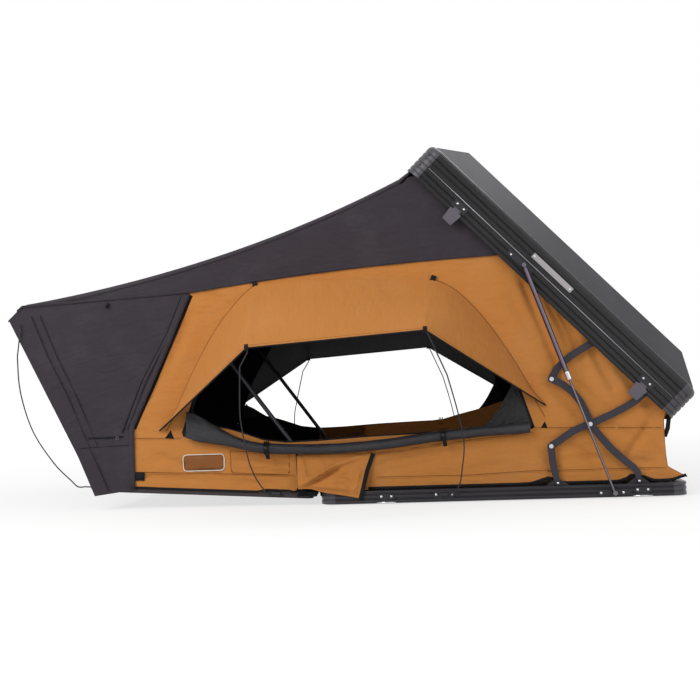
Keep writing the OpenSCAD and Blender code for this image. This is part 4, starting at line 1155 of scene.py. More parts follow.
class Repeats:
    """Geometry Nodes trees for what repeats: rivets on points and stitches along a seam."""

    def __init__(self) -> None:
        """Builds both trees."""
        self.rivet = self._rivet()
        self.stitch = self._stitch()

    @staticmethod
    def _start(name: str, sizes: dict[str, float]) -> tuple[Graph, Node, dict[str, str]]:
        """Starts a tree with a mesh input, named sizes and a material.

        Args:
            name: The tree's name.
            sizes: Each size's own value, by name.

        Returns:
            The graph, the input node and each input's identifier by name.
        """
        tree = bpy.data.node_groups.new(name, "GeometryNodeTree")
        graph = Graph(tree)
        ids = {}
        tree.interface.new_socket(name="Geometry", in_out="INPUT", socket_type="NodeSocketGeometry")
        for key, value in sizes.items():
            socket = tree.interface.new_socket(name=key, in_out="INPUT", socket_type="NodeSocketFloat")
            socket.default_value = value
            ids[key] = socket.identifier
        ids["Material"] = tree.interface.new_socket(
            name="Material", in_out="INPUT", socket_type="NodeSocketMaterial").identifier
        tree.interface.new_socket(name="Geometry", in_out="OUTPUT", socket_type="NodeSocketGeometry")
        return graph, graph.add("NodeGroupInput"), ids

    @staticmethod
    def _spread(
        graph: Graph, start: Node, points: Node, solid: Node,
        size: Node, way: NodeSocket,
    ) -> None:
        """Sets a solid on each point and gives it its material.

        Args:
            graph: The tree's graph.
            start: The tree's input.
            points: The node that gives the points.
            solid: The node that makes the solid.
            size: The node that scales it along its three axes.
            way: The direction that its Z is turned along.
        """
        sized = graph.add("GeometryNodeTransform", {
            "Geometry": solid.outputs["Mesh"], "Scale": size.outputs[0]})
        turn = graph.add("FunctionNodeAlignRotationToVector", {"Vector": way}, axis="Z")
        spread = graph.add("GeometryNodeInstanceOnPoints", {
            "Points": points.outputs[0], "Instance": sized.outputs[0], "Rotation": turn.outputs[0]})
        real = graph.add("GeometryNodeRealizeInstances", {0: spread.outputs[0]})
        smooth = graph.add("GeometryNodeSetShadeSmooth", {0: real.outputs[0]})
        dressed = graph.add("GeometryNodeSetMaterial", {
            "Geometry": smooth.outputs[0], "Material": start.outputs["Material"]})
        graph.add("NodeGroupOutput", {0: dressed.outputs[0]})

    def _rivet(self) -> tuple[NodeTree, dict[str, str]]:
        """Domed heads on each point, standing along its 'out' attribute."""
        graph, start, ids = self._start("rivet_heads", {"Radius": 0.005, "Rise": 0.5})
        dome = graph.add("GeometryNodeMeshUVSphere", {
            "Segments": 14, "Rings": 8, "Radius": start.outputs["Radius"]})
        size = graph.add("ShaderNodeCombineXYZ", {"X": 1.0, "Y": 1.0, "Z": start.outputs["Rise"]})
        out = graph.add("GeometryNodeInputNamedAttribute", {"Name": "out"}, data_type="FLOAT_VECTOR")
        points = graph.add("GeometryNodeMeshToPoints", {0: start.outputs["Geometry"]})
        self._spread(graph, start, points, dome, size, out.outputs["Attribute"])
        return graph.tree, ids

    def _stitch(self) -> tuple[NodeTree, dict[str, str]]:
        """Short threads along each edge path."""
        sizes = {"Spacing": 0.011, "Length": 0.007, "Thickness": 0.0011}
        graph, start, ids = self._start("stitch_run", sizes)
        curve = graph.add("GeometryNodeMeshToCurve", {0: start.outputs["Geometry"]})
        even = graph.add(
            "GeometryNodeResampleCurve", {"Curve": curve.outputs[0], "Length": start.outputs["Spacing"]},
            mode="LENGTH")
        size = graph.add("ShaderNodeCombineXYZ", {
            "X": start.outputs["Thickness"], "Y": start.outputs["Thickness"], "Z": start.outputs["Length"]})
        thread = graph.add("GeometryNodeMeshCylinder", {"Vertices": 6, "Radius": 0.5, "Depth": 1.0})
        way = graph.add("GeometryNodeInputTangent").outputs[0]
        self._spread(graph, start, even, thread, size, way)
        return graph.tree, ids

    @staticmethod
    def _run(
        name: str, mesh: bpy.types.Mesh, made: tuple[NodeTree, dict[str, str]], sizes: dict,
        material: Material,
    ) -> Object:
        """Evaluates a tree on a mesh and keeps the result as a plain mesh.

        Args:
            name: The object's name.
            mesh: What the tree works on.
            made: The tree and its inputs' identifiers.
            sizes: Sizes by name.
            material: The result's material.

        Returns:
            The object.
        """
        tree, ids = made
        obj = bpy.data.objects.new(name, mesh)
        bpy.context.scene.collection.objects.link(obj)
        modifier = obj.modifiers.new("repeat", "NODES")
        modifier.node_group = tree
        for key, value in sizes.items():
            modifier[ids[key]] = value
        modifier[ids["Material"]] = material
        graph = bpy.context.evaluated_depsgraph_get()
        result = bpy.data.meshes.new_from_object(obj.evaluated_get(graph))
        obj.modifiers.remove(modifier)
        obj.data = result
        result.name = name
        return obj

    def rivets(
        self, name: str, spots: Sequence[tuple[Triple, Triple]], radius: float, material: Material,
        rise: float = 0.5,
    ) -> Object:
        """Rivet heads.

        Args:
            name: The object's name.
            spots: Places in millimetres, each with the direction that it faces.
            radius: Radius of a head in millimetres.
            material: The heads' material.
            rise: Height of a head as a share of its radius.

        Returns:
            The object.
        """
        mesh = bpy.data.meshes.new(name)
        mesh.from_pydata([metres(p) for p, _ in spots], [], [])
        attribute = mesh.attributes.new("out", "FLOAT_VECTOR", "POINT")
        attribute.data.foreach_set("vector", [c for _, out in spots for c in out])
        return self._run(name, mesh, self.rivet, {"Radius": radius * MM, "Rise": rise}, material)

    def stitches(
        self, name: str, runs: Sequence[Sequence[Triple]], material: Material
    ) -> Object:
        """Threads along seams given as lists of places in millimetres.

        Args:
            name: The object's name.
            runs: The seams.
            material: The thread's material.

        Returns:
            The object.
        """
        points: list[tuple[float, ...]] = []
        edges: list[tuple[int, int]] = []
        for run in runs:
            base = len(points)
            points += [metres(p) for p in run]
            edges += [(base + k, base + k + 1) for k in range(len(run) - 1)]
        mesh = bpy.data.meshes.new(name)
        mesh.from_pydata(points, edges, [])
        return self._run(name, mesh, self.stitch, {}, material)


@dataclass(frozen=True)
class Fold:
    """One fold pressed into a panel between two places."""

    start: Pair
    end: Pair
    width: float
    depth: float

    def press(self, x: float, z: float) -> float:
        """How far the fold moves a place, in millimetres.

        Args:
            x: The place along the panel.
            z: Its height.

        Returns:
            The move; more is inwards.
        """
        gap = off_edge((x, z), self.start, self.end)
        if gap > 3 * self.width:
            return 0.0
        ends = min(math.dist((x, z), self.start), math.dist((x, z), self.end)) / (2 * self.width)
        return self.depth * math.exp(-(gap / self.width) ** 2) * (0.35 + 0.65 * ease(ends))


# Folds pressed into a side wall and into a gusset: start and end as [x, z], width and depth.
WALL_FOLDS = (
    ((110, 880), (245, 520), 15, 24), ((60, 800), (150, 640), 20, 10), ((250, 760), (330, 560), 17, 20),
    ((205, 790), (285, 600), 9, 17), ((140, 860), (205, 700), 8, 12), ((180, 120), (215, 78), 9, 9),
    ((300, 470), (440, 330), 9, 9), ((410, 300), (560, 210), 10, 9), ((-420, 205), (-120, 245), 7, 7),
    ((360, 610), (470, 400), 18, 16), ((470, 520), (600, 330), 20, 14), ((190, 470), (330, 300), 18, 12),
    ((-490, 150), (-330, 185), 11, 12), ((-330, 185), (-100, 215), 11, 10),
    ((-470, 120), (-60, 205), 12, 7), ((-440, 230), (-250, 240), 10, 8), ((330, 160), (600, 128), 13, 11),
    ((600, 300), (480, 130), 15, 14), ((560, 250), (630, 150), 12, 10), ((-1400, 215), (-1120, 120), 14, 9),
    ((-1070, 190), (-840, 165), 9, 10), ((-1060, 150), (-845, 128), 8, 9),
    ((-1340, 560), (-1240, 780), 20, 9), ((-1460, 132), (-900, 84), 9, 8), ((240, 250), (420, 90), 15, 11),
    ((100, 230), (230, 110), 14, 9), ((-1440, 420), (-1370, 560), 20, 8),
    ((-1150, 860), (-1060, 800), 16, 8), ((620, 110), (700, 70), 12, -4),
)
GUSSET_FOLDS = (
    ((-540, 194), (-654, 160), 11, 20), ((-654, 160), (-795, 80), 10, 24), ((-640, 146), (-775, 78), 8, -15),
    ((-785, 78), (-600, 62), 11, 15), ((-560, 150), (-590, 40), 12, 11), ((-800, 195), (-775, 95), 9, 13),
    ((-640, 120), (-575, 90), 10, -10), ((-735, 190), (-700, 140), 11, 10), ((-690, 92), (-580, 100), 10, 10),
)


@dataclass
class SideWalls:
    """Canvas walls of both sides: one panel each, with its window, seams, zips and hems."""

    dress: Wardrobe
    repeats: Repeats
    step: float = 12.0
    thickness: float = 1.6
    window: list[Pair] = field(default_factory=lambda: [
        (-1285, 292), (-1205, 510), (-1065, 745), (-945, 856), (SPLIT, 858), (-240, 862), (-95, 745),
        (45, 550), (133, 280), (-100, 277), (-338, 273), (-543, 267), (SPLIT, 257), (-859, 255), (-952, 267),
        (-1034, 297), (-1100, 318), (-1160, 330), (-1230, 318)])
    hem: list[Pair] = field(default_factory=lambda: [
        (-700, 53), (-532, 52.5), (71, 52.5), (117, 54), (163, 67), (177, 75), (205, 70), (225, 58),
        (252, 53), (454, 52.5), (490, 62), (508, 76), (535, 72), (565, 66), (590, 54), (604, 52.5),
        (663, 53), (722, 71)])
    folds: list[Fold] = field(default_factory=lambda: [Fold(*f) for f in WALL_FOLDS])

    def y_at(self, x: float, z: float) -> float:
        """Where the near wall's middle lies at a place.

        Args:
            x: The place along the wall.
            z: Its height.

        Returns:
            Its y.
        """
        soft = noise.noise((x * 0.0035, z * 0.005, 3.1)) * 5 + noise.noise((x * 0.012, z * 0.009, 7.7)) * 2.2
        tight = ease(min(off_edge((x, z), a, b) for a, b in edges_of(self.window)) / 90)
        low = ease((z - 52) / 45)
        slack = ease((265 - z) / 60) * ease((z - 95) / 40)
        soft += slack * 4.5 * noise.noise((x * 0.005 + z * 0.012, z * 0.034 - x * 0.003, 12.0))
        soft += ease((x - 60) / 120) * 5 * noise.noise(((x + 0.45 * z) * 0.014, (z - 0.3 * x) * 0.0035, 21.0))
        inward = max(soft + 1.2, -0.8) * tight * (0.3 + 0.7 * low)
        inward += sum(f.press(x, z) for f in self.folds) * (0.25 + 0.75 * tight)
        return CANVAS_Y + max(inward, -1.2)

    def outline(self) -> list[Pair]:
        """Outline of the whole panel, from the floor's far end round to the lid and the fly."""
        drops = ((-1507, 15), (-1300, 16), (-975, 16), (-955, 8), (-852, 8), (-835, 13), (-819, 8))
        foot = [(x, floor_top(x) - drop) for x, drop in drops]
        top = [lid_point(40, 14), lid_point(500, 14), lid_point(960, 14)]
        ridge = [(-300, 985), (SPLIT, 955), (-1190, 905), (-1257, 865)]
        return [*foot, (-771, 80), (SPLIT, 76), *self.hem, *REAR_EDGE, *top, *ridge, (-1508, 323)]

    @staticmethod
    def _inner(place: Vector) -> int:
        """Finish of the wall's inner face: black above the sill; below it, black as painted shade towards the
        front, then plain tan, then tan with a painted glow towards the rear.
        """
        sill, floor_end, hinge_end = 0.288, -0.86, -0.62
        if place.z > sill or place.x < floor_end:
            return 1
        return 0 if place.x < hinge_end else 2

    def on_wall(self, path: Sequence[Pair], lift: float = 0.0) -> list[Triple]:
        """Places on the near wall's outer face along a flat line."""
        return [(x, self.y_at(x, z) - self.thickness / 2 - lift, z) for x, z in spaced(path, 18.0)]

    def build(self) -> None:
        """Makes both walls and their trim."""
        cuts = [((SPLIT, 76.0), (SPLIT, 257.0)), ((SPLIT, 858.0), (SPLIT, 955.0))]
        sheet = panel(self.outline(), [self.window], self.step, lambda x, z: (x, self.y_at(x, z), z), cuts)
        for half in Half:
            part = sheet.half(half)
            shape = part.shell(self.thickness, self._inner)
            for side in Side:
                obj = shape.on(side).make(
                    f"canvas_wall_{tag(half, side)}",
                    self.dress.pick("tan_canvas", "black_lining", "tan_inside"))
                wall_carry(half, side).settle(obj, "tan_canvas", [f"wall_{tag(half, side)}"])
                declare(obj, part, "stretched")
                self._trim(half, side)
        self._flap()

    def _trim(self, half: Half, side: Side) -> None:
        """Binding, seams, zips, tabs and stitches of one stretch, with a black strip of painted shadow beside
        the canopy's edge at the front.

        Args:
            half: The stretch.
            side: The side.
        """
        front = half is Half.FRONT
        shape = Shape()

        def band(path: Sequence[Pair], width: float, finish: int, rise: float = 1.2) -> None:
            """Adds a band on the wall."""
            shape.add(ribbon(self.on_wall(path), width, rise, NEAR_OUT), finish)

        sill = self.window.index((SPLIT, 257))
        band([self.window[-1], *self.window[:5]] if front else self.window[4:9], 15, 0, 1.6)
        band(self.window[sill:] if front else self.window[8:sill + 1], 6, 0, 1.6)
        if front:
            band([(x, z + 4) for x, z in self.outline()[:7]], 9, 0)
            band([(-818, 206), (-814, 66)], 9, 0, 2.0)
            pull = [(-1487, -618, 133), (-1467, -618, 133), (-1448, -618, 132)]
            shape.add(ribbon(pull, 35, 2.4, NEAR_OUT), 0)
            self._corner(shape, [(-1359, 284), (-1334, 317), (-1321, 281)])
            # Black strip beside the canopy's rear edge: the canopy's painted shadow on the wall.
            band([(-1232, 866), (-1340, 632), (-1486, 326)], 15, 1, 1.4)
            self._patch(shape)
            seams = [
                [(-1484, 288), (-1297, 284)], [(-1480, 150), (-1200, 137), (-832, 118)],
                [(-1092, 225), (-849, 209), (-852, 122), (-1088, 136), (-1092, 225)],
                [(-1352, 315), (-1298, 408), (-1230, 556), (-1154, 686), (-1098, 764), (-1023, 850),
                 (-968, 896)],
            ]
        else:
            band([(-532, 58), *[(x, z + 5.5) for x, z in self.hem[2:]]], 12, 0)
            self._corner(shape, [(163, 278), (180, 304), (190, 277)])
            seams = [
                [(131, 281), (634, 265)], [(-498, 102), (-119, 100), (102, 109), (642, 108)],
                [(181, 323), (135, 415), (79, 528), (4, 653), (-73, 758), (-161, 848), (-242, 889)],
                [(-500, 196), (-250, 226), (130, 262)],
            ]
        for seam in seams:
            shape.add(tube(self.on_wall(seam, 0.2), 1.5, 6, 0.6), 2)
        dress = self.dress.pick("black_webbing", "black_lining", "seam_thread", "bare_patch", "patch_border")
        obj = shape.on(side).make(f"wall_trim_{tag(half, side)}", dress)
        wall_carry(half, side).settle(obj, "tan_canvas")
        runs = [sided(self.on_wall([(x, z - 6) for x, z in seam], 0.4), side) for seam in seams]
        thread = self.repeats.stitches(f"wall_stitches_{tag(half, side)}", runs, self.dress["seam_thread"])
        wall_carry(half, side).settle(thread, "tan_canvas")

    def _corner(self, shape: Shape, loop: list[Pair]) -> None:
        """Small dark reinforcement under an awning's end."""
        shape.add(panel(loop, [], 12, lambda x, z: (x, self.y_at(x, z) - 1.6, z)).shell(1.2), 1)

    def _patch(self, shape: Shape) -> None:
        """Bare sewn patch with a pale bound edge."""
        low, high, left, right, turn = 148.0, 214.0, -1286.0, -1116.0, 16.0
        centres = (
            (right - turn, high - turn), (left + turn, high - turn),
            (left + turn, low + turn), (right - turn, low + turn),
        )
        loop: list[Pair] = []
        for quarter, (x, z) in enumerate(centres):
            for degrees in range(0, 91, 18):
                a = math.radians(90 * quarter + degrees)
                loop.append((x + turn * math.cos(a), z + turn * math.sin(a)))
        face = panel(loop, [], 16, lambda x, z: (x, self.y_at(x, z) - 2.2, z)).shell(1.4)
        shape.add(face, 3)
        rim = [(x, self.y_at(x, z) - 2.7, z) for x, z in [*loop, loop[0]]]
        shape.add(tube(rim, 2.4, 6, 0.7), 4)

    def _flap(self) -> None:
        """Loose gusset over the floor's hinge, gathered and hung over the tray's front corner."""
        top, left, right = 198, -818, -508
        lower = rounded([(-812, 66), (-764, 65), (-721, 51), (-640, 33), (-563, 18)], 8)
        zipper = [(right, 196), (-534, 130), (-563, 18)]
        creases = [Fold(*f) for f in GUSSET_FOLDS]

        def place(t: float, u: float) -> Triple:
            """Place on the near gusset, t down from its top and u towards its zip."""
            foot, edge = along(lower, u), along(zipper, t)
            x_top = left + (right - left) * u
            straight = right + (foot[0] - right) * t
            x = x_top + (foot[0] - x_top) * t + (edge[0] - straight) * u ** 3
            z = top + (foot[1] - top) * t
            bulge = sum(c.press(x, z) for c in creases) + abs(noise.noise((x * 0.02, z * 0.02, 5.0))) * 6
            hold = math.sin(math.pi * min(t * 1.05, 1.0)) ** 0.5
            return x, -621.5 - 32.5 * ease(t * 1.2) - max(bulge, -9.0) * hold, z

        rows = surface(30, 57, place)
        at = min(range(len(rows[0])), key=lambda j: abs(rows[0][j][0] - SPLIT))
        for row in rows:
            row[at] = (SPLIT, row[at][1], row[at][2])
        sheet = grid(rows)
        for half in Half:
            part = sheet.half(half)
            for side in Side:
                obj = part.shell(self.thickness).on(side).make(
                    f"hinge_gusset_{tag(half, side)}", self.dress.pick("tan_canvas", "black_lining"))
                gusset_carry(half, side).settle(obj, "tan_canvas")
                declare(obj, part, "gathered")
        self._bunch()
        self._far_gather()
        edge = ribbon([(x, y - 1, z) for x, y, z in (row[-1] for row in rows)], 17, 2, NEAR_OUT)
        for side in Side:
            obj = edge.on(side).make(f"gusset_zip_{side.value}", self.dress.pick("black_webbing"))
            gusset_carry(Half.REAR, side).settle(obj, "tan_canvas")

    def _far_gather(self) -> None:
        """Canvas gathered at the far window's rear corner, seen through the near window."""
        low = [(-262, 262), (-100, 268), (20, 270), (128, 272)]
        high = [(-258, 271), (-126, 306), (10, 338), (92, 364)]

        def place(t: float, u: float) -> Triple:
            """Place on the gather, t along the sill and u upwards."""
            x, z = mix(along(low, t), along(high, t), u)
            return x, -612 + 3 * noise.noise((x * 0.02, z * 0.03, 9.0)), z

        sheet = grid(surface(39, 10, place))
        # Its inner face takes the glowing copy of the canvas: painted light.
        dress = self.dress.pick("tan_canvas", "tan_inside")
        obj = sheet.shell(1.4).on(Side.FAR).make("far_sill_gather", dress)
        wall_carry(Half.REAR).settle(obj, "tan_canvas")
        declare(obj, sheet, "gathered")

    def _bunch(self) -> None:
        """Dark hem of the front wall, bunched beside the hinge."""

        def place(t: float, u: float) -> Triple:
            """Place on the near hem, t downwards and u towards the hinge."""
            x = -818 + 82 * u - 4 * math.sin(9 * t)
            y = -622 - 14 * math.sin(math.pi * t) - 9 * noise.noise((u * 6 + t * 2, t * 4, 6.0))
            z = 68 - 8 * u - (36 - 10 * u) * t + 5 * noise.noise((u * 5, t * 3, 1.0))
            return x, min(y, -619.0), z

        sheet = grid(surface(14, 24, place))
        for side in Side:
            obj = sheet.shell(1.4, unlined).on(side).make(
                f"hinge_bunch_{side.value}", self.dress.pick("black_lining"))
            wall_carry(Half.FRONT, side).settle(obj, "tan_canvas")
            declare(obj, sheet, "gathered")
            self._hang(side)

    def _hang(self, side: Side) -> None:
        """Dark lining hung over the end of the tray, beside the hinge."""

        def place(t: float, u: float) -> Triple:
            """Place on the near lining, t downwards and u inwards."""
            puff = math.sin(math.pi * min(t * 1.4, 1.0))
            x = -728.5 - 3.5 * (1 + noise.noise((u * 7, t * 2, 3.0))) * puff
            return x, -606 + 126 * u, 61 - 34 * t * (0.8 + 0.2 * math.sin(5 * u))

        sheet = grid(surface(11, 21, place))
        obj = sheet.shell(1.4, unlined).on(side).make(
            f"hinge_hang_{side.value}", self.dress.pick("black_lining"))
        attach(obj, "base")
        declare(obj, sheet, "hung")


@dataclass
class BackWall:
    """Canvas across the rear, flared over the tray's end."""

    dress: Wardrobe
    half_width: float = 615.5
    profile: list[Pair] = field(default_factory=lambda: [(722, 71), *REAR_EDGE, lid_point(32, 12)])

    def build(self) -> None:
        """Makes the wall, its hem and the strap at each of the lid's rear corners."""

        def place(t: float, u: float) -> Triple:
            """Place on the wall, t upwards and u across."""
            x, z = along(self.profile, t)
            y = self.half_width * (2 * u - 1)
            edge = ease((self.half_width - abs(y)) / 120)
            slack = noise.noise((y * 0.006, z * 0.012, 2.0)) * 12
            slack += noise.noise((y * 0.02, z * 0.01, 8.0)) * 4
            return x + min(slack, 6.0) * edge * math.sin(math.pi * t), y, z

        rows = surface(25, 60, place)
        sheet = grid([list(reversed(row)) for row in rows])
        obj = sheet.shell(1.6, unlined).make("canvas_back_wall", self.dress.pick("tan_canvas"))
        wall_carry(Half.REAR).settle(obj, "tan_canvas", ["back_wall"])
        declare(obj, sheet, "hung")
        hem = tube(rows[0], 4.0, 6, 0.8)
        for y in (-1, 1):
            strap = [(650, y * 600, 318), (668, y * 602, 309), (661, y * 603, 262), (647, y * 604, 228)]
            hem.add(ribbon(strap, 20, 1.5, (0.3, y, 0)))
        obj = hem.make("back_wall_binding", self.dress.pick("black_webbing"))
        wall_carry(Half.REAR).settle(obj, "tan_canvas")


@dataclass
class RainFly:
    """Rain fly over the whole tent and the canopy at its front."""

    dress: Wardrobe
    repeats: Repeats
    ridge: float = 26.0
    start: Pair = lid_point(1444, -30)
    control: Pair = (-1056.0, 976.0)
    end: Pair = (-1943.0, 855.0)
    nose: Pair = (-2004.0, 797.0)
    corner: Pair = (-1235.0, 875.0)
    lid_foot: Pair = lid_point(929, 22)
    lid_head: Pair = lid_point(1392, 22)
    cut_width: float = 1.59
    curve_gain: float = 1.08
    seam_gain: float = 1.05

    def top(self, x: float) -> float:
        """Height of the fly's ridge line at x."""
        if x < self.end[0]:
            return height_at([self.end, self.nose], x)
        if x > self.start[0]:
            return height_at([self.start, self.lid_head, self.lid_foot], x)
        a = self.start[0] - 2 * self.control[0] + self.end[0]
        b = 2 * (self.control[0] - self.start[0])
        c = self.start[0] - x
        t = (-b - math.sqrt(max(b * b - 4 * a * c, 0.0))) / (2 * a)
        t = t if 0 <= t <= 1 else (-b + math.sqrt(max(b * b - 4 * a * c, 0.0))) / (2 * a)
        return (1 - t) ** 2 * self.start[1] + 2 * t * (1 - t) * self.control[1] + t * t * self.end[1]

    def skirt(self, x: float) -> float:
        """Height of the skirt's lower edge at x."""
        if x < self.end[0]:
            return self.top(x) - 12
        if x < self.corner[0]:
            return height_at([self.corner, (self.end[0], self.end[1] - 13)], x)
        share = (x - self.corner[0]) / (self.lid_foot[0] - self.corner[0])
        return self.corner[1] + (self.lid_foot[1] - self.corner[1]) * share + 18 * math.sin(math.pi * share)

    def build(self) -> None:
        """Makes the fly, then the canopy."""
        near = self._side()
        over = self._over()
        far = Shape(near.points, near.faces).mirrored()
        base = len(near.points)
        last = base + len(over.points)
        sheet = Sheet(
            near.points + over.points + far.points,
            near.faces + [tuple(i + base for i in f) for f in over.faces]
            + [tuple(i + last for i in f) for f in far.faces],
            near.flat + over.flat + near.flat,
        ).weld()
        for half in Half:
            part = sheet.half(half)
            obj = part.shell(1.4).make(
                f"rain_fly_{half.value}", self.dress.pick("fly_ripstop", "black_lining"))
            fly_carry(half).settle(obj, "fly_cloth", [f"fly_{half.value}"])
            xs = [p.x for p in part.points]
            length = (max(xs) - min(xs)) * self.curve_gain
            area = part.area()
            flat = (round(max(self.cut_width, area / length * self.seam_gain), 3), round(length, 3))
            LOG.info("%s cut %s m, %.3f m2", obj.name, flat, area)
            self._fly_trim(half)
        self._canopy()

    @staticmethod
    def _stations(first: float, last: float, count: int) -> list[float]:
        """Stations along x, with one on the hinge line.

        Args:
            first: The first one.
            last: The last one.
            count: Steps between.

        Returns:
            The stations.
        """
        xs = [first + (last - first) * k / count for k in range(count + 1)]
        near = min(range(len(xs)), key=lambda k: abs(xs[k] - SPLIT))
        xs[near] = SPLIT
        return xs

    @staticmethod
    def _sway(x: float, z: float) -> float:
        """How far the near skirt billows from its plane."""
        sway = noise.noise((x * 0.003, z * 0.006, 1.5)) * 5
        sway += noise.noise((x * 0.01 + z * 0.012, z * 0.004, 4.2)) * 2
        return max(sway, -0.6)

    def _side(self) -> Sheet:
        """Near skirt, from its lower edge to the ridge."""
        rows: Rows = []
        for x in self._stations(self.nose[0], self.lid_foot[0] - 2, 110):
            low = self.skirt(x)
            high = max(self.top(x) - self.ridge * ease((self.start[0] - x) / 30 + 1), low + 2)
            row: list[Triple] = []
            for k in range(15):
                t = k / 14
                z = low + (high - low) * t
                row.append((x, FLY_Y + self._sway(x, z) * math.sin(math.pi * t) ** 0.6, z))
            rows.append(row)
        return grid(rows, lambda i, j: (rows[i][j][0] * MM, rows[i][j][2] * MM))

    def _over(self) -> Sheet:
        """Top, from the near ridge to the far ridge, and the strip under the lid's front rail."""
        rows: Rows = []
        flat: list[list[Pair]] = []
        xs = [x for x in self._stations(self.nose[0], self.lid_foot[0] - 2, 110) if x <= self.start[0]]
        for x in xs:
            high = self.top(x)
            low = max(high - self.ridge, self.skirt(x) + 2)
            drop = high - low
            row: list[Triple] = []
            for k in range(6):
                a = math.pi / 2 * k / 5
                row.append((x, FLY_Y + self.ridge * (1 - math.cos(a)), low + drop * math.sin(a)))
            inner = FLY_Y + self.ridge
            for k in range(1, 36):
                y = inner + (-2 * inner) * k / 36
                sag = 9 * (1 - (y / inner) ** 2) + noise.noise((x * 0.004, y * 0.005, 6.0)) * 3
                row.append((x, y, high - sag * (1 - (y / inner) ** 6)))
            row += [(p[0], -p[1], p[2]) for p in reversed(row[:6])]
            rows.append(row)
            flat.append([(x * MM, (p[1] - 0.3) * MM + 2.5) for p in row])
        tuck = lid_point(1436, 71)
        head = self.top(xs[-1])
        for t in (0.35, 0.7, 1.0):
            x, z = mix((xs[-1], head), tuck, t)
            shrink = 1 - 0.055 * t
            rows.append([(x, p[1] * shrink, z + (p[2] - head) * (1 - t)) for p in rows[len(xs) - 1]])
            flat.append([(u + 0.1 * t, v) for u, v in flat[len(xs) - 1]])
        return grid(rows, lambda i, j: flat[i][j])

    def _fly_trim(self, half: Half) -> None:
        """Bound lower edge of the skirt and the corner tabs of the awning.

        Args:
            half: The stretch.
        """
        front = half is Half.FRONT
        xs = self._stations(self.nose[0] + 40, self.lid_foot[0] - 4, 90)
        xs = [x for x in xs if (x <= SPLIT) == front or x == SPLIT]
        run = [(x, FLY_Y - 1.2, self.skirt(x) + 5) for x in xs]
        shape = ribbon(run, 11, 1.0, NEAR_OUT)
        corner = [(-969, 912), (-962, 882)] if front else [(-236, 903), (-250, 872)]
        shape.add(ribbon([(x, FLY_Y - 3.0, z) for x, z in corner], 21, 3.5, NEAR_OUT), 1)
        seam = [(x, FLY_Y - 2.3, z) for x, _, z in run]
        for side in Side:
            obj = shape.on(side).make(
                f"fly_binding_{tag(half, side)}", self.dress.pick("fly_ripstop", "black_webbing"))
            fly_carry(half).settle(obj, "fly_cloth")
            thread = self.repeats.stitches(
                f"fly_stitches_{tag(half, side)}", [sided(seam, side)], self.dress["dark_thread"])
            fly_carry(half).settle(thread, "fly_cloth")

    @staticmethod
    def _canopy_side(back: Pair, fore: Pair, u: float, v: float) -> Triple:
        """Place on the canopy's near side, u forwards from the door and v upwards.

        Args:
            back: Place on the door's edge at this height.
            fore: Place on the front edge at this height.
            u: Share of the way forwards.
            v: Share of the way up.

        Returns:
            The place; the top edge follows the fly's edge and lies just behind it.
        """
        peak = 0.923
        x, z = mix(back, fore, u)
        hug = max(0.0, 1 - abs(u - peak) / (1 - peak if u > peak else peak))
        z += (44 * hug + 6 * (1 - u ** 8)) * v ** 8
        sway = noise.noise((x * 0.004, z * 0.004, 11.0)) * 7
        sway += noise.noise(((x + z) * 0.012, (x - z) * 0.003, 3.0)) * 4
        pucker = noise.noise(((x + z) * 0.024, (x - z) * 0.006, 8.0)) * 9
        sway += 2.5 + pucker * math.exp(-((u - 0.72) / 0.11) ** 2)
        held = math.sin(math.pi * u) ** 0.6 * math.sin(math.pi * min(v * 1.02, 1.0))
        return x, FLY_Y + max(sway, -1.0) * held + 2.4 * v ** 8 * (1 - u ** 8), z

    def _canopy(self) -> None:
        """Canopy: one sheet round the near side, the front and the far side."""
        back = [(-1489.0, 78.0), (-1490.0, 323.0), (-1235.0, 874.0)]
        fore = [(-1657.0, 57.0), (-1723.0, 220.0), (-2002.0, 794.0)]
        tall, turn = 44, 30.0
        inner = FLY_Y + turn
        rows: Rows = []
        for i in range(tall + 1):
            v = i / tall
            b, f = along(back, v), along(fore, v)
            row = [self._canopy_side(b, f, k / 59, v) for k in range(60)]
            row += [(f[0], FLY_Y + turn * (1 - math.cos(math.pi / 2 * k / 5)), f[1]) for k in range(1, 5)]
            far = [(x, -y, z) for x, y, z in reversed(row)]
            for k in range(33):
                y = inner - 2 * inner * k / 32
                arch = 1 - (y / inner) ** 2
                belly = 10 * math.sin(math.pi * v) + noise.noise((y * 0.005, f[1] * 0.006, 4.0)) * 6
                row.append((f[0] + max(belly * arch, -6.0), y, f[1] + 62 * arch * (1 - v) ** 5))
            rows.append(row + far)
        sheet = grid(rows)
        obj = sheet.shell(1.4).make("front_canopy", self.dress.pick("fly_ripstop", "black_lining"))
        fly_carry(Half.FRONT).settle(obj, "fly_cloth", ["canopy"])
        declare(obj, sheet, "stretched")
        self._canopy_trim()

    def _canopy_trim(self) -> None:
        """Door strip, seams, zip with its ring and the toggle on each side of the canopy."""
        shape = Shape()

        def lay(path: Sequence[Pair], lift: float) -> list[Triple]:
            """Places along a line on the near side."""
            return [(x, FLY_Y - 0.9 - lift, z) for x, z in spaced(path, 25)]

        def band(path: Sequence[Pair], lift: float, width: float, rise: float, finish: int) -> None:
            """Adds a band along a line on the near side."""
            shape.add(ribbon(lay(path, lift), width, rise, NEAR_OUT), finish)

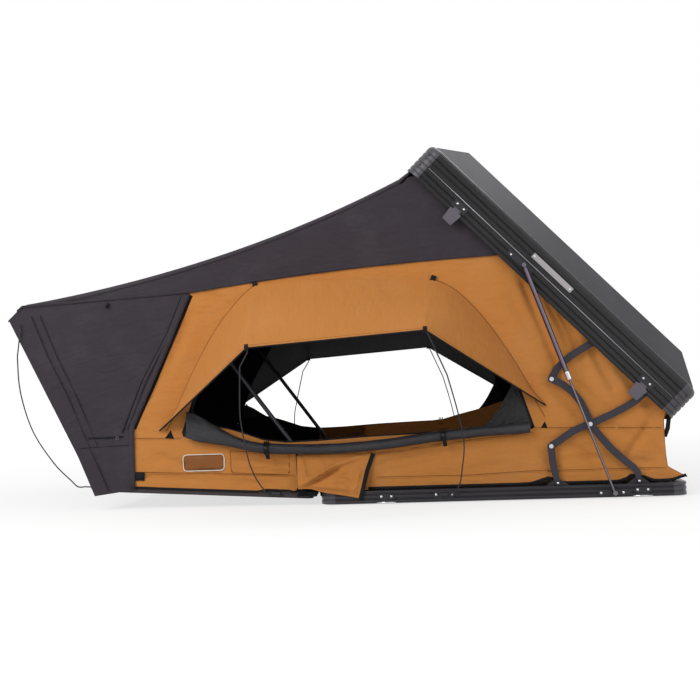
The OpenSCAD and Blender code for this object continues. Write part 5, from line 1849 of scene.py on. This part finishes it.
        band([(-1246, 868), (-1350, 637), (-1497, 330), (-1497, 82)], 0.0, 22, 2.6, 0)
        band([(-1270, 862), (-1338, 707), (-1448, 515), (-1534, 314)], 0.2, 7, 1.6, 1)
        band([(-1262, 862), (-1328, 710), (-1436, 520), (-1515, 330)], 0.0, 14, 2.2, 0)
        band([(-1677, 295), (-1600, 294), (-1532, 297)], 0.2, 7, 1.6, 1)
        seams = [
            [(-1905, 806), (-1837, 632), (-1760, 471), (-1670, 248), (-1598, 76)],
            [(-1868, 806), (-1800, 632), (-1724, 471), (-1640, 262)],
            [(-1716, 254), (-1670, 256), (-1500, 262)],
        ]
        for seam in seams:
            shape.add(tube(lay(seam, 0.1), 1.5, 6, 0.6), 1)
        turns = [a * 0.524 for a in range(13)]
        ring = [(-1556 + 6 * math.cos(a), FLY_Y - 4.0, 292 + 6 * math.sin(a)) for a in turns]
        shape.add(tube(ring, 1.3, 6), 2)
        toggle = [(-1578, FLY_Y - 6, 848), (-1580, FLY_Y - 9, 838), (-1584, FLY_Y - 6, 829)]
        shape.add(tube(toggle, 6, 8), 1)
        runs = [[(x + 6, y, z) for x, y, z in lay(seam, 0.3)] for seam in seams]
        for side in Side:
            obj = shape.on(side).make(
                f"canopy_trim_{side.value}", self.dress.pick("fly_ripstop", "black_webbing", "rod_steel"))
            fly_carry(Half.FRONT).settle(obj, "fly_cloth")
            sewn = [sided(run, side) for run in runs]
            thread = self.repeats.stitches(f"canopy_stitches_{side.value}", sewn, self.dress["dark_thread"])
            fly_carry(Half.FRONT).settle(thread, "fly_cloth")


@dataclass
class Awnings:
    """Window awnings: a top with two drawn-in cheeks, lined in black."""

    dress: Wardrobe
    repeats: Repeats
    wall_y: float = -619.0
    edge_y: float = -998.5
    sag: float = 12.0

    def _lines(self) -> tuple[list[Triple], list[Triple], int]:
        """Seam on the wall and free edge, station by station, and the station on the hinge line."""
        top_l, top, top_r = (-966, 897), (SPLIT, 908), (-243, 889)
        left = rounded([
            (-1377, 319), (-1352, 332), (-1298, 418), (-1230, 560), (-1154, 690), (-1098, 768), (-1023, 852),
            top_l], 4)
        right = rounded([
            top_r, (-161, 848), (-73, 760), (4, 655), (79, 532), (135, 430), (185, 372)], 4)
        corner_l, corner_r = (-944.0, self.edge_y, 627.0), (-279.0, self.edge_y, 668.0)
        foot_l, foot_r = (-1379.0, self.wall_y - 1, 316.0), (186.0, self.wall_y - 1, 368.0)
        middle = (SPLIT, self.edge_y, 640.1)

        def drawn_in(a: Triple, b: Triple, t: float, way: float) -> Triple:
            """Place on a cheek's free edge, which is drawn in between its ends."""
            x, y, z = mix(a, b, t)
            pull = math.sin(math.pi * t)
            return x + 8 * way * pull, y + 10 * pull, z - 6 * pull

        cheek, front, rear = range(25), range(1, 13), range(1, 25)
        seam = [*resample(left, 25), *[mix(top_l, top, k / 12) for k in front]]
        edge = [drawn_in(foot_l, corner_l, k / 24, -1) for k in cheek]
        edge += [mix(corner_l, middle, k / 12) for k in front]
        at = len(seam) - 1
        seam += [mix(top, top_r, k / 24) for k in rear]
        seam += resample(right, 25)[1:]
        edge += [mix(middle, corner_r, k / 24) for k in rear]
        edge += [drawn_in(corner_r, foot_r, k / 24, 1) for k in cheek[1:]]
        return [(x, self.wall_y, z) for x, z in seam], edge, at

    def build(self) -> None:
        """Makes both awnings, each in two stretches."""
        seam, edge, at = self._lines()
        rows: Rows = []
        for i, (a, b) in enumerate(zip(seam, edge)):
            row: list[Triple] = []
            for k in range(15):
                v = k / 14
                x, y, z = mix(a, b, v)
                loose = 4 * v * (1 - v)
                ripple = noise.noise((x * 0.006, v * 2.0, 2.5)) * 5
                cheek = 10 * loose if i < 25 or i > 61 else 0.0
                row.append((x, y - cheek * 0.4, z - (self.sag + ripple) * loose + cheek))
            rows.append(row)
        rows[at] = [(SPLIT, y, z) for _, y, z in rows[at]]
        sheet = grid([list(reversed(row)) for row in rows])
        for half in Half:
            part = sheet.half(half)
            for side in Side:
                obj = part.shell(1.6).on(side).make(
                    f"awning_{tag(half, side)}_cloth", self.dress.pick("tan_canvas", "black_lining"))
                awning_carry(half, side).settle(obj, "tan_canvas", [f"awning_{tag(half, side)}"])
                declare(obj, part, "stretched")
                self._trim(rows, half, side, at)

    def _trim(self, rows: Rows, half: Half, side: Side, at: int) -> None:
        """Black piping along the free edge and the crease seam at the corner.

        Args:
            rows: The awning's places, station by station.
            half: The stretch.
            side: The side.
            at: The station on the hinge line.
        """
        span = range(0, at + 1) if half is Half.FRONT else range(at, len(rows))
        free = [rows[i][-1] for i in span]
        shape = Shape().add(tube(free, 3.2, 6), 0)
        knee = rows[24] if half is Half.FRONT else rows[60]
        sewn = rows[:25] if half is Half.FRONT else rows[60:]
        shape.add(tube([(row[0][0], row[0][1] - 0.8, row[0][2] + 1.0) for row in sewn], 1.9, 6, 0.7), 1)
        x, y, z = knee[-1]
        shape.add(ribbon([(x, y - 1, z + 14), (x, y - 3, z), (x, y + 4, z - 10)], 16, 3, (0, -1, 0.3)), 0)
        obj = shape.on(side).make(
            f"awning_piping_{tag(half, side)}", self.dress.pick("black_webbing", "seam_thread"))
        awning_carry(half, side).settle(obj, "tan_canvas")
        hem = [(x, y - 1.3, z + 1.2) for x, y, z in (mix(rows[i][-1], rows[i][-2], 0.6) for i in span)]
        thread = self.repeats.stitches(
            f"awning_stitches_{tag(half, side)}", [sided(hem, side)], self.dress["seam_thread"])
        awning_carry(half, side).settle(thread, "tan_canvas")


@dataclass
class WindowGear:
    """Rolled window covers with their ties, and the spring rods that hold the awnings and the canopy out."""

    dress: Wardrobe
    roll_y: float = -640.3
    roll_radius: float = 21.5
    wraps: float = 6.5
    rod: float = 2.6
    routes: dict[Half, list[Pair]] = field(default_factory=lambda: {
        Half.FRONT: [(-1262, 334), (-1177, 300), (-1065, 260), (-967, 235), (-868, 227), (SPLIT - 0.3, 222)],
        Half.REAR: [(SPLIT + 0.3, 222), (-600, 224), (-435, 236), (-276, 255), (-80, 271), (118, 281)]})
    rods: dict[Half, list[list[Triple]]] = field(default_factory=lambda: {
        Half.FRONT: [
            [(-943, -997, 622), (-943, -985, 612), (-976, -970, 558), (-1001, -860, 395), (-1007, -790, 315),
             (-998, -720, 192), (-980, -672, 118), (-955, -640, 68), floor_at(-215, -620, -23),
             floor_at(-202, -618, -27), floor_at(-165, -618, -27)],
            [(-1950, -628, 775), (-1950, -632, 740), (-1964, -632, 640), (-1955, -632, 495),
             (-1907, -632, 333), (-1822, -632, 199), (-1750, -632, 124), (-1725, -624, 98),
             floor_at(-972, -606, -26), floor_at(-955, -598, -27), floor_at(-918, -598, -27)]],
        Half.REAR: [
            [(-279, -997, 664), (-268, -988, 652), (-204, -940, 501), (-167, -850, 356), (-147, -770, 233),
             (-157, -705, 127), (-166, -680, 76), (-182, -666, 42), (-204, -661, 30), (-237, -661, 30)]]})

    def build(self) -> None:
        """Makes the gear of both sides."""
        for half in Half:
            roll = self._roll(half)
            fan = self._fan(half)
            for side in Side:
                end = tag(half, side)
                for sheet, name, finish, held, nodes in (
                    (roll, "window_roll", "roll_nylon", "folded", [f"window_gear_{end}"]),
                    (fan, "window_gather", "gather_nylon", "gathered", []),
                ):
                    obj = sheet.shell(0.9, unlined).on(side).make(f"{name}_{end}", self.dress.pick(finish))
                    awning_carry(half, side).settle(obj, "roll_mesh", nodes)
                    declare(obj, sheet, held)
                self._rods(half, side)
                self._ties(half, side)

    def _roll(self, half: Half) -> Sheet:
        """The cover, wound on itself along the sill.

        Args:
            half: The stretch.

        Returns:
            The sheet.
        """
        path = resample(rounded(self.routes[half], 8), 44)
        sides = 18
        turns = int(self.wraps * sides)
        rows: Rows = []
        run = [0.0]
        for a, b in zip(path, path[1:]):
            run.append(run[-1] + math.dist(a, b))
        spiral = [0.0]
        for i, (x, z) in enumerate(path):
            a, b = path[max(i - 1, 0)], path[min(i + 1, len(path) - 1)]
            length = math.dist(a, b)
            up = ((a[1] - b[1]) / length, (b[0] - a[0]) / length)
            if i in (0, len(path) - 1):
                up = (0.0, 1.0)
            flare = ease((-1030 - x) / 235)
            row: list[Triple] = []
            for k in range(turns + 1):
                angle = 2 * math.pi * k / sides
                c, s = math.cos(angle), math.sin(angle)
                r = self.roll_radius * (1 - 0.88 * k / turns)
                r *= 1 + 0.07 * noise.noise((run[i] * 0.014, c * 0.8, s * 0.8 + 2.0))
                r *= 1 + 0.1 * flare * math.sin(angle * 5 + run[i] * 0.01)
                deep, high = c * r * (1 - 0.55 * flare), s * r * (1 + 1.55 * flare)
                row.append((x + up[0] * high, self.roll_y + deep, z + up[1] * high))
                if i == 0 and k:
                    spiral.append(spiral[-1] + math.dist(row[-1], row[-2]))
            rows.append(row)
        return grid(rows, lambda i, j: (run[i] * MM, spiral[j] * MM))

    def _fan(self, half: Half) -> Sheet:
        """Loose end of the cover, gathered from the window's corner into the roll.

        Args:
            half: The stretch.

        Returns:
            The sheet.
        """
        if half is Half.FRONT:
            edge, mouth = [(-1236.0, 396.0), (-1279.0, 298.0)], [(-1120.0, 283.0), (-1130.0, 252.0)]
        else:
            edge, mouth = [(66.0, 478.0), (127.0, 290.0)], [(-70.0, 292.0), (-60.0, 258.0)]
        def place(t: float, u: float) -> Triple:
            """Place on the near gather, t towards the roll and u downwards."""
            x, z = mix(mix(edge[0], mouth[0], t), mix(edge[1], mouth[1], t), u)
            z -= 26 * math.sin(math.pi * t) * (1 - u)
            pleat = 5.5 * math.sin(u * 22 + t * 3) * ease(1.1 - t * 0.3) * ease(t * 3)
            return x, -623 - 24 * ease(t) * (0.5 + 0.5 * math.sin(math.pi * u)) - abs(pleat), z

        rows = surface(20, 24, place)
        return grid(rows if half is Half.FRONT else [list(reversed(row)) for row in rows])

    def _rods(self, half: Half, side: Side) -> None:
        """Spring rods with their hooked tops.

        Args:
            half: The stretch.
            side: The side.
        """
        shape = Shape()
        feet = Shape()
        for route in self.rods[half]:
            line = [*route[:2], *rounded(route[2:-2], 7), *route[-2:]]
            cut = len(line)
            if half is Half.REAR:
                cut = next(i for i, place in enumerate(line) if place[2] < 112)
                feet.add(tube(line[cut:], self.rod, 10))
            shape.add(tube(line[:cut + 1], self.rod, 10))
        obj = shape.on(side).make(f"awning_rods_{tag(half, side)}", self.dress.pick("spring_black"))
        awning_carry(half, side).settle(obj, "spring_steel")
        if half is Half.REAR:
            foot = feet.on(side).make(f"awning_rod_feet_{side.value}", self.dress.pick("spring_black"))
            rest = Carry("base", "lid_close", (0, 1, 0), (0, 0.64 * side.out, 0), 0.05)
            rest.settle(foot, "spring_steel")

    def _ties(self, half: Half, side: Side) -> None:
        """Webbing tie round the roll, with its buckle and tail.

        Args:
            half: The stretch.
            side: The side.
        """
        x, z = (-937.0, 234.0) if half is Half.FRONT else (-226.0, 264.0)
        y, reach = self.roll_y, 24
        turns = [k * math.pi / 12 for k in range(25)]
        shape = Shape()
        for offset in (-8.0, 0.0, 8.0):
            ring = [(x + offset, y + reach * math.cos(a), z + reach * math.sin(a)) for a in turns]
            shape.add(tube(ring, 4.2, 6, 0.45), 0)
        tail = [(x, y - 24, z + 6), (x + 3, y - 26, z - 14), (x + 9, y - 18, z - 44)]
        shape.add(ribbon(tail, 16, 2, NEAR_OUT), 0)
        shape.add(ribbon([(x - 8, y - 25, z + 2), (x + 8, y - 25, z + 1)], 14, 5, NEAR_OUT), 1)
        obj = shape.on(side).make(
            f"roll_tie_{tag(half, side)}", self.dress.pick("black_webbing", "bracket_black"))
        awning_carry(half, side).settle(obj, "roll_mesh")


@dataclass
class Mattresses:
    """Foam mattresses with a piped edge."""

    dress: Wardrobe
    voxel: float = 0.017
    frames: int = 16
    most: float = 0.009

    def build(self) -> None:
        """Makes both pads."""
        self._pad("base", (0.0, 0.0, 38.3), (1312.0, 1140.0, 54.0), Matrix.Identity(4), 0.15)
        turned = Matrix.Rotation(FLOOR_SLOPE, 4, "Y")
        self._pad("floor", floor_at(-489, 0, -9.7), (730.0, 1136.0, 44.0), turned, 0.12)

    def _pad(self, body: str, place: Triple, size: Triple, turn: Matrix, keep: float) -> None:
        """One mattress: a rounded block, swelled as cloth over foam, with piping.

        Args:
            body: The body that it lies on.
            place: Middle of its underside, in millimetres.
            size: Length, width and height in millimetres.
            turn: How it lies.
            keep: Share of its height that is left when the tent is shut.
        """
        tall = size[2]
        rows = [
            (20, 0), (6, 5), (1, 16), (0, tall * 0.5), (1, tall - 14), (7, tall - 4), (26, tall),
            (140, tall + 4)]
        count = 72
        shape = Shape()
        loops: list[list[Vector]] = []
        for inset, z in rows:
            loop: list[Vector] = []
            for k in range(count):
                a = 2 * math.pi * (k + 0.5) / count
                c, s = math.cos(a), math.sin(a)
                draw = 7 * math.sin(2 * a) ** 4
                x = (size[0] / 2 - inset - 7 + draw) * math.copysign(abs(c) ** 0.24, c)
                y = (size[1] / 2 - inset - 7 + draw) * math.copysign(abs(s) ** 0.24, s)
                loop.append(Vector((x, y, z)) * MM)
            loops.append(loop)
            shape.points += loop
        obj = shape.loft(count).make(f"mattress_{body}", self.dress.pick("mattress_knit"))
        move = Matrix.Translation(Vector(place) * MM) @ turn
        self._swell(obj)
        obj.data.transform(move)
        piping = Shape()
        for i in (1, 5):
            ring = [tuple(c / MM for c in (move @ (p * 1.001))) for p in [*loops[i], loops[i][0]]]
            piping.add(tube(ring, 3.2, 6))
        cord = piping.make(f"mattress_piping_{body}", self.dress.pick("black_webbing"))
        axis = FLOOR_NORMAL if body == "floor" else (0, 0, 1)
        carry = Carry(body, "floor_fold", axis, metres(place), keep)
        carry.settle(obj, "mattress_cloth", [f"{body}_mattress"])
        carry.settle(cord, "mattress_cloth")

    def _swell(self, obj: Object) -> None:
        """Swells the pad as cloth under pressure, and caps how far it moves."""
        scene = bpy.context.scene
        bpy.context.view_layer.objects.active = obj
        remesh = obj.modifiers.new("remesh", "REMESH")
        remesh.mode, remesh.voxel_size = "VOXEL", self.voxel
        graph = bpy.context.evaluated_depsgraph_get()
        mesh = bpy.data.meshes.new_from_object(obj.evaluated_get(graph))
        obj.modifiers.clear()
        if not mesh.materials:
            mesh.materials.append(self.dress["mattress_knit"])
        obj.data = mesh
        rest = [v.co.copy() for v in mesh.vertices]
        cloth = obj.modifiers.new("cloth", "CLOTH")
        cloth.settings.use_pressure = True
        cloth.settings.uniform_pressure_force = 4.0
        cloth.settings.effector_weights.gravity = 0.0
        cloth.settings.quality = 4
        for frame in range(1, self.frames + 1):
            scene.frame_set(frame)
        graph = bpy.context.evaluated_depsgraph_get()
        swelled = bpy.data.meshes.new_from_object(obj.evaluated_get(graph))
        obj.modifiers.clear()
        for v, old in zip(swelled.vertices, rest):
            move = v.co - old
            if move.length > self.most:
                v.co = old + move * (self.most / move.length)
            v.co.z = max(v.co.z, 0.0)
        obj.data = swelled
        scene.frame_set(1)
        mesh = obj.data
        if not mesh.uv_layers:
            layer = mesh.uv_layers.new(name="cloth")
            places = [mesh.vertices[loop.vertex_index].co for loop in mesh.loops]
            layer.uv.foreach_set("vector", [c for p in places for c in (p.x + p.z, p.y)])
        mesh.polygons.foreach_set("use_smooth", [True] * len(mesh.polygons))
        mesh.update()


@dataclass
class Shell:
    """Finishes of the tray, the lid, the linkage and the floor, with their small hardware."""

    dress: Wardrobe
    repeats: Repeats
    finishes: dict[str, tuple[str, ...]] = field(default_factory=lambda: {
        "ribbed_black": ("base_side_rails", "base_end_rails"),
        "ribbed_black_lid": ("lid_side_rails", "lid_end_rails"),
        "corner_black": ("base_corner_caps", "lid_corner_caps"),
        "lid_skin": ("lid_top",),
        "bracket_black": (
            "base_link_brackets", "base_catches", "strut_base_brackets", "bow_brackets", "lid_link_brackets",
            "strut_lid_brackets", "hasp_mounts", "base_rod_sockets", "floor_rod_sockets"),
        "arm_grey": ("long_arm_near", "long_arm_far", "lower_links", "cross_arm_near", "cross_arm_far",
                     "upper_link_near", "upper_link_far"),
        "hasp_grey": ("hasp_front_near", "hasp_rear_near", "hasp_front_far", "hasp_rear_far"),
        "steel": ("scissor_bolts", "elbow_bolts", "base_hinge_leaves", "floor_hinge_leaves"),
        "rod_steel": ("strut_rod_near", "strut_rod_far"),
        "bare_aluminium": ("mounting_channels",),
        "frame_dark": ("floor_frame",),
        "floor_board": ("base_floor_panel", "floor_panel"),
        "seal_rubber": ("lid_seal",),
        "strut_dark": ("strut_tube_near", "strut_tube_far"),
        "pole_black": ("bow",),
        "badge_metal": ("bare_plate",)})

    def build(self, nodes: dict[str, Object]) -> None:
        """Dresses the solids and adds rivets, screws and trim.

        Args:
            nodes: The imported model's objects by name.
        """
        for finish, names in self.finishes.items():
            for name in names:
                nodes[name].data.materials.clear()
                nodes[name].data.materials.append(self.dress[finish])
                LOG.info("%s is finished in %s", name, finish)
        self._base()
        self._lid()
        self._struts()

    @staticmethod
    def _fix(obj: Object, body: str, slot: str) -> None:
        """Lets a piece of hardware ride on a body."""
        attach(obj, body)
        LOG.info("%s rides %s", obj.name, body)

    @staticmethod
    def _lid_spot(s: float, p: float, y: float) -> Triple:
        """Place on the lid's side."""
        x, z = lid_point(s, p)
        return x, y, z

    def _base(self) -> None:
        """Rivets on the tray's catches, strut plates and rod sockets, and the catches' bright bars."""
        plates = (
            (-480, 27), (-440, 27), (384, 18), (470, 18), (525, 27), (565, 27), (-262, 29), (-200, 29))
        spots: list[tuple[Triple, Triple]] = []
        bars = Shape()
        for sign in (-1.0, 1.0):
            out = (0.0, sign, 0.0)
            spots += [((x, sign * 654, z), out) for x, z in plates]
            for x in (-460, 545):
                bars.add(tube([(x - 38, sign * 652.5, 3.5), (x + 38, sign * 652.5, 3.5)], 2.6, 8))
            spots += [((x, sign * 643, 60), out) for x in (219, 535)]
        rivets = self.repeats.rivets("tray_rivets", spots, 5.2, self.dress["steel"])
        self._fix(rivets, "base", "steel")
        obj = bars.make("catch_bars", self.dress.pick("steel"))
        self._fix(obj, "base", "steel")

    def _lid(self) -> None:
        """Bright aluminium line in each rail as a painted highlight, rivets of hasps, plate and strut plates,
        screws of the corner caps.
        """
        cap_y = 590 + math.sqrt(60 ** 2 - 30 ** 2)
        bright: list[tuple[Triple, Triple]] = []
        dark: list[tuple[Triple, Triple]] = []
        line = Shape()
        for sign in (-1.0, 1.0):
            out = (0.0, sign, 0.0)
            for s in (1185, 180):
                bright += [(self._lid_spot(s + off, 40, sign * 653), out) for off in (-17, 17)]
            bright += [(self._lid_spot(s, 38, sign * 654), out) for s in (820, 908)]
            for s in (30, 1420):
                dark += [(self._lid_spot(s, p, sign * cap_y), out) for p in (52, 104)]
            # An aluminium strip along the rail, put where a highlight line runs: painted highlight.
            ends = [self._lid_spot(s, 64.3, sign * 648.6) for s in (64, 500, 950, 1386)]
            line.add(ribbon(ends, 2.6, 0.9, out))
        bright += [(self._lid_spot(s, 97, -652.0), NEAR_OUT) for s in (835, 644)]
        obj = line.make("rail_bright_line", self.dress.pick("bare_aluminium"))
        self._fix(obj, "lid", "bare_aluminium")
        heads = self.repeats.rivets("lid_rivets", bright, 4.8, self.dress["steel"])
        self._fix(heads, "lid", "steel")
        screws = self.repeats.rivets("cap_screws", dark, 5.0, self.dress["bracket_black"], 0.35)
        self._fix(screws, "lid", "bracket_black")

    def _struts(self) -> None:
        """Bright collar at the lower end of each strut's tube."""
        top, foot = Vector(self._lid_spot(842, 40, -668.0)), Vector((435.0, -668.0, 18.0))
        way = (foot - top).normalized()
        collar = tube([tuple(top + way * d) for d in (452, 455, 482, 485)], 10.8, 18)
        for side in Side:
            obj = collar.on(side).make(f"strut_collar_{side.value}", self.dress.pick("steel"))
            self._fix(obj, "strut_tubes", "steel")


def main() -> None:
    """Builds the tent's looks in order."""
    logging.basicConfig(level=logging.INFO, format="%(message)s")
    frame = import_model()
    Studio().build()
    dress = Wardrobe()
    repeats = Repeats()
    Shell(dress, repeats).build(frame["nodes"])
    SideWalls(dress, repeats).build()
    BackWall(dress).build()
    RainFly(dress, repeats).build()
    Awnings(dress, repeats).build()
    WindowGear(dress).build()
    Mattresses(dress).build()
    bpy.context.view_layer.update()


if __name__ == "__main__":
    main()
